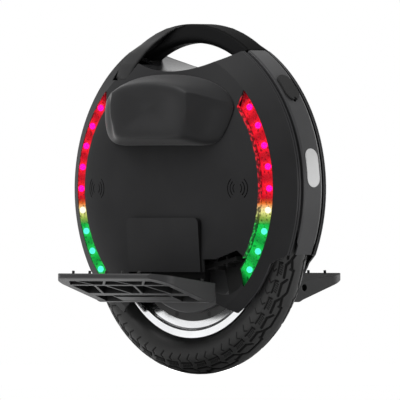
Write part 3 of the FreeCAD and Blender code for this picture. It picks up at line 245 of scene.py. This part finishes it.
def brushed(name, colour, roughness, stretch):
    """Metal with fine lines along one direction."""
    material, tree, shader = new_material(name)
    shader.inputs["Metallic"].default_value = 1.0
    mapping = tree.nodes.new("ShaderNodeMapping")
    mapping.inputs["Scale"].default_value = stretch
    tree.links.new(object_position(tree), mapping.inputs["Vector"])
    texture = tree.nodes.new("ShaderNodeTexNoise")
    texture.inputs["Scale"].default_value = 60.0
    tree.links.new(mapping.outputs["Vector"], texture.inputs["Vector"])
    lines = texture.outputs["Fac"]
    tree.links.new(tint(tree, lines, shade(colour, 0.9), shade(colour, 1.05)), shader.inputs["Base Color"])
    tree.links.new(spread(tree, lines, roughness * 0.7, roughness * 1.3), shader.inputs["Roughness"])
    relief(tree, shader, lines, 0.05, 0.1 * MM, 0.4 * MM)
    return material


def overlaid(material, value, colour, roughness):
    """Lays a second colour and roughness over a finish where a 0 to 1 value is high."""
    tree = material.node_tree
    shader = tree.nodes["Principled BSDF"]
    for socket, kind, second in (("Base Color", "RGBA", (*colour, 1.0)), ("Roughness", "VALUE", roughness)):
        factor, plain, laid_over, result = mixer(tree, kind)
        tree.links.new(value(tree), factor)
        tree.links.new(shader.inputs[socket].links[0].from_socket, plain)
        laid_over.default_value = second
        tree.links.new(result, shader.inputs[socket])
    return material


def clear_cover(name):
    """Clear plastic with a slight ripple."""
    material, tree, shader = new_material(name)
    shader.inputs["Transmission Weight"].default_value = 1.0
    shader.inputs["IOR"].default_value = 1.12
    tree.links.new(spread(tree, noise(tree, 400.0), 0.02, 0.07), shader.inputs["Roughness"])
    return material


def glowing_board(name, stops, strength):
    """Lit strip whose colour changes with height, darker and blotchy between the LEDs."""
    material, tree, shader = new_material(name)
    tree.links.new(height_ramp(tree, stops), shader.inputs["Emission Color"])
    shader.inputs["Base Color"].default_value = (*grey(0.02), 1.0)
    shader.inputs["Roughness"].default_value = 0.35
    angle = bar_angle(tree)
    from_middle = calculate(tree, "ABSOLUTE", angle, 0.0)
    beat = calculate(tree, "COSINE", calculate(tree, "MULTIPLY", angle, 360.0 / LED_PITCH), 0.0)
    level = map_range(tree, from_middle, BAR_FADE, BAR_END, 1.0, 0.1)
    level = calculate(tree, "MULTIPLY", level, map_range(tree, beat, -1.0, 0.2, 0.55, 1.0))
    blotches = map_range(tree, noise(tree, 240.0, 3.0), 0.34, 0.46, 0.2, 1.0)
    level = calculate(tree, "MULTIPLY", level, blotches)
    tree.links.new(calculate(tree, "MULTIPLY", level, strength), shader.inputs["Emission Strength"])
    return material


def glowing_core(name, halo_stops, core_stops, strength):
    """Lit LED, with one colour in its middle and another towards its rim, both by height."""
    material, tree, shader = new_material(name)
    factor, halo, core, colour = mixer(tree, "RGBA")
    tree.links.new(calculate(tree, "POWER", attribute(tree, "heat"), 4.0), factor)
    tree.links.new(height_ramp(tree, halo_stops), halo)
    tree.links.new(height_ramp(tree, core_stops), core)
    tree.links.new(colour, shader.inputs["Emission Color"])
    shader.inputs["Base Color"].default_value = (*grey(0.0), 1.0)
    shader.inputs["Specular IOR Level"].default_value = 0.0
    shader.inputs["Emission Strength"].default_value = strength
    return material


def painted_wall_glow(material, stops, strength):
    """Paints the light of the strips onto the walls of their grooves as a glow, in patches."""
    tree = material.node_tree
    shader = tree.nodes["Principled BSDF"]
    outside_inner = beyond(tree, GROOVE_INNER, SHELL_HEIGHT)
    walls = calculate(tree, "SUBTRACT", outside_inner, beyond(tree, GROOVE_OUTER, SHELL_HEIGHT))
    walls = calculate(tree, "MULTIPLY", walls, facing(tree, "Y", -0.5, 0.5))
    from_middle = calculate(tree, "ABSOLUTE", bar_angle(tree), 0.0)
    walls = calculate(tree, "MULTIPLY", walls, calculate(tree, "LESS_THAN", from_middle, BAR_END))
    patches = map_range(tree, noise(tree, 180.0, 3.0), 0.47, 0.6, 0.1, strength)
    tree.links.new(height_ramp(tree, stops), shader.inputs["Emission Color"])
    tree.links.new(calculate(tree, "MULTIPLY", walls, patches), shader.inputs["Emission Strength"])
    return material


# Light colours by height above the floor

def chip_stops(green, white, red):
    return ((0.14, green), (0.222, green), (0.228, white), (0.248, white), (0.256, red), (0.4, red))


RED, ORANGE, PALE = (1.0, 0.012, 0.03), (1.0, 0.2, 0.03), (1.0, 0.85, 0.35)
LIME, GREEN = (0.5, 0.7, 0.12), (0.01, 0.62, 0.08)
PINK, HOT_GREEN, HOT_WHITE = (1.0, 0.0012, 0.117), (0.25, 1.0, 0.6), (1.0, 0.9, 0.5)
SOFT_CYAN, SOFT_WHITE = (0.021, 0.208, 0.156), (0.208, 0.208, 0.167)
BOARD_STOPS = ((0.14, GREEN), (0.217, GREEN), (0.226, LIME), (0.238, PALE), (0.247, ORANGE), (0.254, RED),
               (0.4, RED))
HALO_STOPS = chip_stops(SOFT_CYAN, SOFT_WHITE, PINK)
CORE_STOPS = chip_stops(HOT_GREEN, HOT_WHITE, PINK)

# Finishes by slot, or by name where a node has its own

shell = moulded("shell_plastic", grey(0.0135, 0.0005), 0.5, 2600.0, 0.05, specular=0.05)
# Painted highlight: the side panels' edges and groove walls get a lighter colour, with a lower roughness.
shell = overlaid(shell, painted_edge_highlight, grey(0.024, 0.001), 0.24)
plate = moulded("plate_grain", grey(0.009, 0.0005), 0.5, 1500.0, 0.55, specular=0.12, edge=0.0)
grip = moulded("grip_rubber", grey(0.0036, 0.0002), 0.5, 2200.0, 0.08, specular=0.05, edge=3 * MM)
tyre = moulded("tyre_rubber", grey(0.0145), 0.45, 900.0, 0.1, specular=0.25, edge=0.0)
motor_cover = moulded("cover_paint", grey(0.03, 0.001), 0.36, 2400.0, 0.05, specular=0.4)
pedal = moulded("pedal_metal", grey(0.019, 0.0005), 0.4, 1800.0, 0.08, specular=0.15, edge=1.6 * MM)
# Painted shade: faces of the pedal that point straight up are darkened and made rough.
pedal = overlaid(pedal, lambda tree: facing(tree, "Z", 0.97, 2.0), grey(0.008), 0.85)
FINISH = {
    # Painted light: the shell's groove walls glow with the strips' colours.
    "shell": painted_wall_glow(shell, BOARD_STOPS, 0.8),
    "deck": moulded("deck_plastic", grey(0.01, 0.0005), 0.24, 2600.0, 0.04, specular=0.35),
    "band": moulded("band_plastic", grey(0.023, 0.001), 0.38, 2600.0, 0.05, specular=0.25),
    "inner_plastic": moulded("inner_plastic", grey(0.008), 0.55, 1800.0, 0.1, specular=0.15),
    # Painted shade: the plate's side faces are darkened.
    "plate": overlaid(plate, lambda tree: facing(tree, "Y", -0.5, 0.5), grey(0.002), 0.9),
    "knee_pad": moulded("knee_foam", grey(0.012, 0.0005), 0.46, 1100.0, 0.6, specular=0.08, edge=0.0,
                        sheen=0.18),
    # The grip's upward faces are rougher and darkened as painted shade.
    "grip": overlaid(grip, lambda tree: facing(tree, "Z", 0.25, 2.0), grey(0.0008), 0.7),
    "arm": moulded("arm_plastic", grey(0.007, 0.0003), 0.36, 2600.0, 0.05, specular=0.18, edge=8 * MM),
    # Painted shade: the tread grooves are darkened by their depth.
    "tyre": overlaid(tyre, lambda tree: attribute(tree, "groove"), grey(0.001), 0.9),
    "rubber": moulded("soft_rubber", grey(0.01), 0.6, 1600.0, 0.1, specular=0.15),
    "rim": brushed("polished_rim", (0.9, 0.91, 0.92), 0.14, (0.3, 6.0, 0.3)),
    "motor_cover": overlaid(motor_cover, lambda tree: beyond(tree, COVER_FACE_RADIUS, TYRE_RADIUS),
                            grey(0.01), 0.5),
    "steel": brushed("machined_steel", grey(0.55, 0.01), 0.3, (1.0, 4.0, 1.0)),
    "dark_steel": moulded("black_oxide", grey(0.015), 0.4, 1500.0, 0.1, metallic=0.6),
    "tube": brushed("drawn_tube", grey(0.62, 0.02), 0.28, (8.0, 8.0, 0.4)),
    # Painted shade: the insides of the pedal's pockets are darkened.
    "pedal": overlaid(pedal, painted_pocket_shade, grey(0.002), 0.9),
    "cast": moulded("cast_metal", grey(0.003, 0.0001), 0.5, 1500.0, 0.2, specular=0.15),
    "lamp_lens": moulded("frosted_lens", grey(0.42), 0.3, 1200.0, 0.1, specular=0.5),
    "tail_lens": moulded("red_lens", (0.3, 0.01, 0.012), 0.25, 1200.0, 0.1, specular=0.5),
    "clear_lens": clear_cover("clear_cover"),
    "led_board": glowing_board("led_strip", BOARD_STOPS, 1.05),
    "led_core": glowing_core("led_core", HALO_STOPS, CORE_STOPS, 6.0),
    "copper": brushed("enamelled_wire", (0.72, 0.33, 0.18), 0.35, (4.0, 4.0, 4.0)),
    "battery": moulded("shrink_sleeve", (0.02, 0.05, 0.16), 0.35, 800.0, 0.1),
    "board": moulded("circuit_board", (0.01, 0.09, 0.04), 0.45, 900.0, 0.2),
}


# Mesh helpers

def mesh_piece(name, points, faces, finish, body, smooth=True):
    mesh = bpy.data.meshes.new(name)
    mesh.from_pydata([tuple(point) for point in points], [], faces)
    mesh.validate()
    mesh.polygons.foreach_set("use_smooth", [smooth] * len(mesh.polygons))
    piece = bpy.data.objects.new(name, mesh)
    bpy.context.scene.collection.objects.link(piece)
    mesh.materials.append(FINISH[finish])
    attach(piece, body)
    return piece


def grid_faces(rows, columns, wrap_rows=False, wrap_columns=False):
    faces = []
    for row in range(rows if wrap_rows else rows - 1):
        for column in range(columns if wrap_columns else columns - 1):
            below, beside = (row + 1) % rows, (column + 1) % columns
            faces.append((row * columns + column, row * columns + beside,
                          below * columns + beside, below * columns + column))
    return faces


def arc_points(first, middle, last, count):
    """Points along the circle through three points of a plane."""
    (ax, ay), (bx, by), (cx, cy) = first, middle, last
    twice = 2 * (ax * (by - cy) + bx * (cy - ay) + cx * (ay - by))
    squares = (ax * ax + ay * ay, bx * bx + by * by, cx * cx + cy * cy)
    ux = (squares[0] * (by - cy) + squares[1] * (cy - ay) + squares[2] * (ay - by)) / twice
    uy = (squares[0] * (cx - bx) + squares[1] * (ax - cx) + squares[2] * (bx - ax)) / twice
    radius = math.hypot(ax - ux, ay - uy)
    start, via, stop = (math.atan2(y - uy, x - ux) for x, y in (first, middle, last))
    turn = 2 * math.pi
    sweep, part = (stop - start) % turn, (via - start) % turn
    if part > sweep:
        sweep -= turn
    angles = start + sweep * np.linspace(0, 1, count)
    return np.stack([ux + radius * np.cos(angles), uy + radius * np.sin(angles)], axis=1)


def both_sides(points, side):
    """Points of the right side, turned half round for the left."""
    sign = SIDES[side]
    return [(sign * x, sign * y, z) for x, y, z in points]


# Tyre

BLOCKS = 44
STEPS_PER_BLOCK = 30
BLOCK_LENGTH = 2 * math.pi * 200.0 / BLOCKS
PERIOD = 2 * BLOCK_LENGTH
CHEVRONS = 3
TREAD_SHIFT = 15.0
# Groove depth in millimetres at which the painted shade in the tread is full
SHADE_DEPTH = 1.2
# Section of the tyre as (place across, radius): arcs of the crown and of one wall, and the inside
TYRE_CROWN = ((-22.2, 199.0), (0.0, 209.5), (22.2, 199.0))
TYRE_WALL = ((22.2, 199.0), (28.5, 180.0), (14.1, 158.5))
TYRE_INSIDE = ((14.1, 155.0), (11.0, 156.0), (21.5, 180.0), (16.5, 193.0), (0.0, 202.0),
               (-16.5, 193.0), (-21.5, 180.0), (-11.0, 156.0), (-14.1, 155.0))
TYRE_MIDDLE = (0.0, 185.0)


def tread_lines():
    """Grooves of two tread blocks: both ends as (place along, run from the crown), half width, depth."""
    lines = []
    zigzag = ((0.0, 8.6), (0.55, 9.4), (0.69, 13.8), (0.93, 11.4), (0.955, 13.2), (0.975, 8.2), (1.0, 8.6))
    for first, last in zip(zigzag, zigzag[1:]):
        ends = [((share - 0.22) * PERIOD, run) for share, run in (first, last)]
        lines.append((*ends, 2.1, 2.4))
    for block in range(2):
        def stop(share, run, shift=block):
            return ((shift + share) * BLOCK_LENGTH, run)
        lines.append((stop(0.0, 14.6), stop(0.26, 19.6), 1.9, 2.2))
        lines.append((stop(0.26, 19.6), stop(0.94, 19.0), 1.7, 2.0))
        lines.append((stop(0.2, 24.6), stop(0.2, 28.8), 2.0, 1.8))
        lines.append((stop(0.2, 28.6), stop(0.9, 28.2), 1.4, 1.6))
        for rung in range(5):
            share = 0.36 + 0.11 * rung
            lines.append((stop(share, 22.4), stop(share - 0.05, 26.2), 0.85, 1.4))
    for chevron in range(CHEVRONS):
        tip = ((chevron + 0.6) * PERIOD / CHEVRONS, 34.4)
        for away, run in ((5.6, 41.6), (4.4, 31.4)):
            lines.append((tip, (tip[0] - away, run), 1.25, 1.0))
    lines.append(((0.0, 30.4), (PERIOD, 30.4), 0.6, 0.4))
    return lines


def tread_depth(along, run):
    """How deep the grooves go at each place, in millimetres, over one period."""
    depth = np.zeros(np.broadcast(along, run).shape)
    for (x0, u0), (x1, u1), half_width, deep in tread_lines():
        length = max(1e-6, (x1 - x0) ** 2 + (u1 - u0) ** 2)
        for lap in (-PERIOD, 0.0, PERIOD):
            share = np.clip(((along + lap - x0) * (x1 - x0) + (run - u0) * (u1 - u0)) / length, 0, 1)
            away = np.hypot(along + lap - x0 - share * (x1 - x0), run - u0 - share * (u1 - u0))
            depth = np.maximum(depth, deep * np.clip((half_width - away) / (0.4 * half_width), 0, 1))
    return depth


def make_tyre():
    crown = arc_points(*TYRE_CROWN, 90)
    wall = arc_points(*TYRE_WALL, 76)[1:]
    inside = np.array(TYRE_INSIDE)
    other = wall[::-1] * (-1, 1)
    profile = np.concatenate([crown, wall, inside, other])
    wall_run = np.cumsum(np.hypot(*np.diff(np.concatenate([crown[-1:], wall]), axis=0).T))
    edge = crown[-1, 0]
    hidden = np.full(len(inside), 200.0)
    run = np.concatenate([np.abs(crown[:, 0]), edge + wall_run, hidden, edge + wall_run[::-1]])[None, :]
    period_steps = 2 * STEPS_PER_BLOCK
    along = -np.arange(period_steps)[:, None] * PERIOD / period_steps - TREAD_SHIFT
    along = along % PERIOD + np.where(profile[:, 0] > 0, BLOCK_LENGTH / 2, 0.0)[None, :]
    depth = np.tile(tread_depth(along % PERIOD, run), (BLOCKS // 2, 1))
    around = BLOCKS * STEPS_PER_BLOCK
    turn = np.arange(around) / around
    across, radius = profile[:, 0][None, :], profile[:, 1][None, :]
    outward = profile - np.array(TYRE_MIDDLE)
    outward /= np.linalg.norm(outward, axis=1)[:, None]
    y = (across - depth * outward[None, :, 0]) * MM
    r = (radius - depth * outward[None, :, 1]) * MM
    angle = (turn * 2 * math.pi)[:, None]
    points = np.stack([r * np.cos(angle), y + 0 * angle, AXLE.z + r * np.sin(angle)], axis=2).reshape(-1, 3)
    faces = grid_faces(around, len(profile), True, True)
    piece = mesh_piece("tyre_tread", points, faces, "tyre", "wheel")
    # Share of the groove depth, which sets the painted shade in the grooves
    marks = piece.data.attributes.new("groove", "FLOAT", "POINT")
    marks.data.foreach_set("value", np.clip(depth / SHADE_DEPTH, 0, 1).ravel())
    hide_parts("tyre")


# Knee pads

PAD_BASE = ((0.0, 0.0), (0.45, 0.0), (0.84, -0.01), (0.97, 0.17), (1.03, 0.37), (1.055, 0.5), (1.05, 0.58),
            (0.93, 0.76), (0.7, 0.9), (0.36, 0.985), (0.0, 1.0))
PAD_FACE = ((0.0, 0.1), (0.34, 0.1), (0.58, 0.1), (0.62, 0.28), (0.65, 0.47), (0.65, 0.63), (0.6, 0.76),
            (0.5, 0.81), (0.4, 0.845), (0.2, 0.875), (0.0, 0.885))
PAD_SCOOP = (0.0, 0.0, 0.1, 1.0, 1.0, 1.0, 0.05, 0.0, 0.0, 0.0, 0.0)
PAD_SCOOP_DEPTH = 0.32
# Share of the way from the base outline to the face outline, size of the outline, and depth of the ring
PAD_RINGS = ((0.0, 1.0, 0.0), (0.0, 1.0, 0.03), (0.03, 1.0, 0.12), (0.3, 1.0, 0.36), (0.6, 1.0, 0.62),
             (0.86, 1.0, 0.87), (1.0, 0.97, 0.965), (1.0, 0.86, 1.0), (1.0, 0.7, 0.99), (1.0, 0.45, 0.92),
             (1.0, 0.2, 0.87))
# Points and rings of the outlines between which the rims of the hollows stay firm
RIM_POINTS = (3, 6)
RIM_RINGS = (2, 6)
RIM_CREASE = 0.7


def pad_outline(half):
    """Closed outline from its half: up the front edge and down the rear edge."""
    front = np.array(half)
    return np.concatenate([front, front[-2:0:-1] * (-1, 1)])


def crease_pad(mesh, count):
    """Keeps the rims of the hollows firm: along the ridge above each, and along the edge of the face."""
    crease = mesh.attributes.new("crease_edge", "FLOAT", "EDGE")
    for edge in mesh.edges:
        (ring, point), (other_ring, other_point) = (divmod(vertex, count) for vertex in edge.vertices)
        low_point, high_point = sorted((min(point, count - point), min(other_point, count - other_point)))
        low_ring, high_ring = sorted((ring, other_ring))
        on_ridge = low_point == high_point == RIM_POINTS[1] and RIM_RINGS[0] <= low_ring
        on_face = low_ring == high_ring == RIM_RINGS[1] and RIM_POINTS[0] <= low_point
        if (on_ridge and high_ring <= RIM_RINGS[1]) or (on_face and high_point <= RIM_POINTS[1]):
            crease.data[edge.index].value = RIM_CREASE


def make_knee_pad(side):
    node = "knee_pad_" + side
    low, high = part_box(node)
    foot, tall, wide = low.z / MM, (high.z - low.z) / MM, high.x / MM
    out = max(abs(low.y), abs(high.y)) / MM - 1.0
    base, face = pad_outline(PAD_BASE), pad_outline(PAD_FACE)
    middle = face.mean(axis=0)
    points = []
    for share, scale, depth in PAD_RINGS:
        outline = middle + ((1 - share) * base + share * face - middle) * scale
        for (place, height), scoop in zip(outline, pad_outline([(0.0, part) for part in PAD_SCOOP])[:, 1]):
            x, z = place * wide, foot + height * tall
            hollow = PAD_SCOOP_DEPTH * scoop * math.sin(math.pi * share ** 2)
            seat = panel_depth(math.hypot(x, z - SHELL_HEIGHT / MM)) + 0.4
            points.append((x, -seat - (out - seat) * (depth - hollow), z))
    count = len(base)
    last_ring = (len(PAD_RINGS) - 1) * count
    points.append((middle[0] * wide, -out * 0.965, foot + middle[1] * tall))
    points = [(x * MM, y * MM, z * MM) for x, y, z in points]
    faces = grid_faces(len(PAD_RINGS), count, False, True)
    for point in range(count):
        faces.append((last_ring + point, last_ring + (point + 1) % count, last_ring + count))
    faces.append(tuple(reversed(range(count))))
    piece = mesh_piece(node + "_foam", both_sides(points, side), faces, "knee_pad", "frame")
    crease_pad(piece.data, count)
    rounding = piece.modifiers.new("rounding", "SUBSURF")
    rounding.levels = 3
    rounding.render_levels = 3
    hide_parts(node)


def panel_depth(radius):
    """Depth of the side panel's outer face, in millimetres, by radius about the shell's axis."""
    return float(np.interp(radius, (110, 144, 170, 199, 227.7), (69.5, 67.5, 61.0, 50.5, 29.4)))


# Side lights

LED_COUNT = 9
LED_RADIUS = 191.7
DOME_RADIUS = 4.8
DOME_STRETCH = 1.3
DOME_HEIGHT = 1.3


def make_leds(bar):
    side, end = bar.split("_")
    ahead = 1 if end == "front" else -1
    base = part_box("led_board_" + bar)
    face = max(abs(base[0].y), abs(base[1].y)) / MM
    outer = -1 if side == "right" else 1
    points, faces = [], []
    segments, rings = 14, 5
    for index in range(LED_COUNT):
        angle = math.radians(LED_PITCH * (index - LED_COUNT // 2))
        centre = (ahead * LED_RADIUS * math.cos(angle), SHELL_HEIGHT / MM + LED_RADIUS * math.sin(angle))
        start = len(points)
        for ring in range(rings):
            tilt = math.pi / 2 * ring / rings
            for segment in range(segments):
                spin = 2 * math.pi * segment / segments
                spread_out = DOME_RADIUS * math.cos(tilt)
                points.append(((centre[0] + DOME_STRETCH * spread_out * math.cos(spin)) * MM,
                               outer * (face + DOME_HEIGHT * math.sin(tilt)) * MM,
                               (centre[1] + spread_out * math.sin(spin)) * MM))
        points.append((centre[0] * MM, outer * (face + DOME_HEIGHT) * MM, centre[1] * MM))
        for face_row in grid_faces(rings, segments, False, True):
            faces.append(tuple(start + vertex for vertex in face_row))
        cap = start + rings * segments
        for segment in range(segments):
            faces.append((start + (rings - 1) * segments + segment,
                          start + (rings - 1) * segments + (segment + 1) % segments, cap))
    piece = mesh_piece("led_chips_" + bar, points, faces, "led_core", "frame")
    heat = [math.sin(math.pi / 2 * ring / rings) for ring in range(rings) for _ in range(segments)] + [1.0]
    marks = piece.data.attributes.new("heat", "FLOAT", "POINT")
    marks.data.foreach_set("value", heat * LED_COUNT)


# Finishes on the solids

OWN_FINISH = {"control_board": "board", "top_deck": "deck"}
for side_name in SIDES:
    OWN_FINISH["handle_arm_" + side_name] = "arm"
    OWN_FINISH["pedal_studs_" + side_name] = "dark_steel"


def dress_solids():
    slots = {part["node"]: part["material_slot"] for part in frame["record"]["subparts"]}
    for name, node in frame["nodes"].items():
        finish = FINISH[OWN_FINISH.get(name, slots[name])]
        node.data.materials.clear()
        node.data.materials.append(finish)


# Stage

FLOOR_GLOW = 0.7
WORLD_LEVEL = 0.64
# Name, places to the camera's right, towards it and above the floor, size and power of each lamp
LAMPS = (("key", -1.5, 1.1, 2.0, 1.6, 44.0),
         ("fill", 1.8, 1.0, 0.0, 1.2, 22.0),
         ("top", -1.1, 0.2, 2.1, 1.2, 30.0),
         ("edge", 2.0, -1.2, 0.6, 1.2, 12.0))


def make_floor():
    """Pale disc that looks white to the camera and still takes the shadow."""
    bpy.ops.mesh.primitive_circle_add(vertices=64, radius=1.2, fill_type="NGON", location=(0, 0, 0))
    floor = bpy.context.object
    floor.name = "floor"
    material, tree, shader = new_material("pale_floor")
    shader.inputs["Base Color"].default_value = (0.9, 0.9, 0.9, 1.0)
    shader.inputs["Roughness"].default_value = 0.9
    shader.inputs["Emission Color"].default_value = (1.0, 1.0, 1.0, 1.0)
    path = tree.nodes.new("ShaderNodeLightPath")
    glow = spread(tree, path.outputs["Is Camera Ray"], 0.0, FLOOR_GLOW)
    tree.links.new(glow, shader.inputs["Emission Strength"])
    floor.data.materials.append(material)


def make_world():
    world = bpy.data.worlds.new("studio")
    bpy.context.scene.world = world
    world.use_nodes = True
    tree = world.node_tree
    background = tree.nodes["Background"]
    background.inputs["Color"].default_value = (1.0, 1.0, 1.0, 1.0)
    path = tree.nodes.new("ShaderNodeLightPath")
    seen = calculate(tree, "MAXIMUM", path.outputs["Is Camera Ray"], path.outputs["Is Transmission Ray"])
    seen = calculate(tree, "MAXIMUM", seen, path.outputs["Is Glossy Ray"])
    tree.links.new(spread(tree, seen, WORLD_LEVEL, 1.0), background.inputs["Strength"])


TOWARDS_CAMERA = Vector((math.sqrt(0.5), -math.sqrt(0.5), 0.0))
CAMERA_RIGHT = Vector((math.sqrt(0.5), math.sqrt(0.5), 0.0))
UP = Vector((0.0, 0.0, 1.0))


def make_light(name, right, forward, height, size, power):
    """Soft square lamp placed by camera directions and aimed at the middle of the object."""
    lamp = bpy.data.lights.new(name, "AREA")
    lamp.shape = "SQUARE"
    lamp.size = size
    lamp.energy = power
    holder = bpy.data.objects.new(name, lamp)
    bpy.context.scene.collection.objects.link(holder)
    holder.location = right * CAMERA_RIGHT + forward * TOWARDS_CAMERA + height * UP
    aim = Vector((0, 0, 0.25)) - holder.location
    holder.rotation_euler = aim.to_track_quat("-Z", "Y").to_euler()


def make_camera():
    photo_width = 400
    metres_per_pixel = 1.4448 * MM
    ground_row, middle_column = 374.2, 199.6
    lens, sensor = 1400.0, 36.0
    aim = UP * ((ground_row - photo_width / 2) * metres_per_pixel)
    aim += CAMERA_RIGHT * ((photo_width / 2 - middle_column) * metres_per_pixel)
    distance = photo_width * metres_per_pixel * lens / sensor
    data = bpy.data.cameras.new("camera")
    data.lens = lens
    data.sensor_width = sensor
    data.clip_end = 100.0
    camera = bpy.data.objects.new("camera", data)
    bpy.context.scene.collection.objects.link(camera)
    camera.location = aim + distance * TOWARDS_CAMERA
    camera.rotation_euler = (-TOWARDS_CAMERA).to_track_quat("-Z", "Y").to_euler()
    bpy.context.scene.camera = camera


dress_solids()
make_tyre()
for side_name in SIDES:
    make_knee_pad(side_name)
for bar_name in BARS:
    make_leds(bar_name)
make_floor()
make_world()
for lamp_values in LAMPS:
    make_light(*lamp_values)
make_camera()
bpy.context.scene.view_settings.view_transform = "Standard"
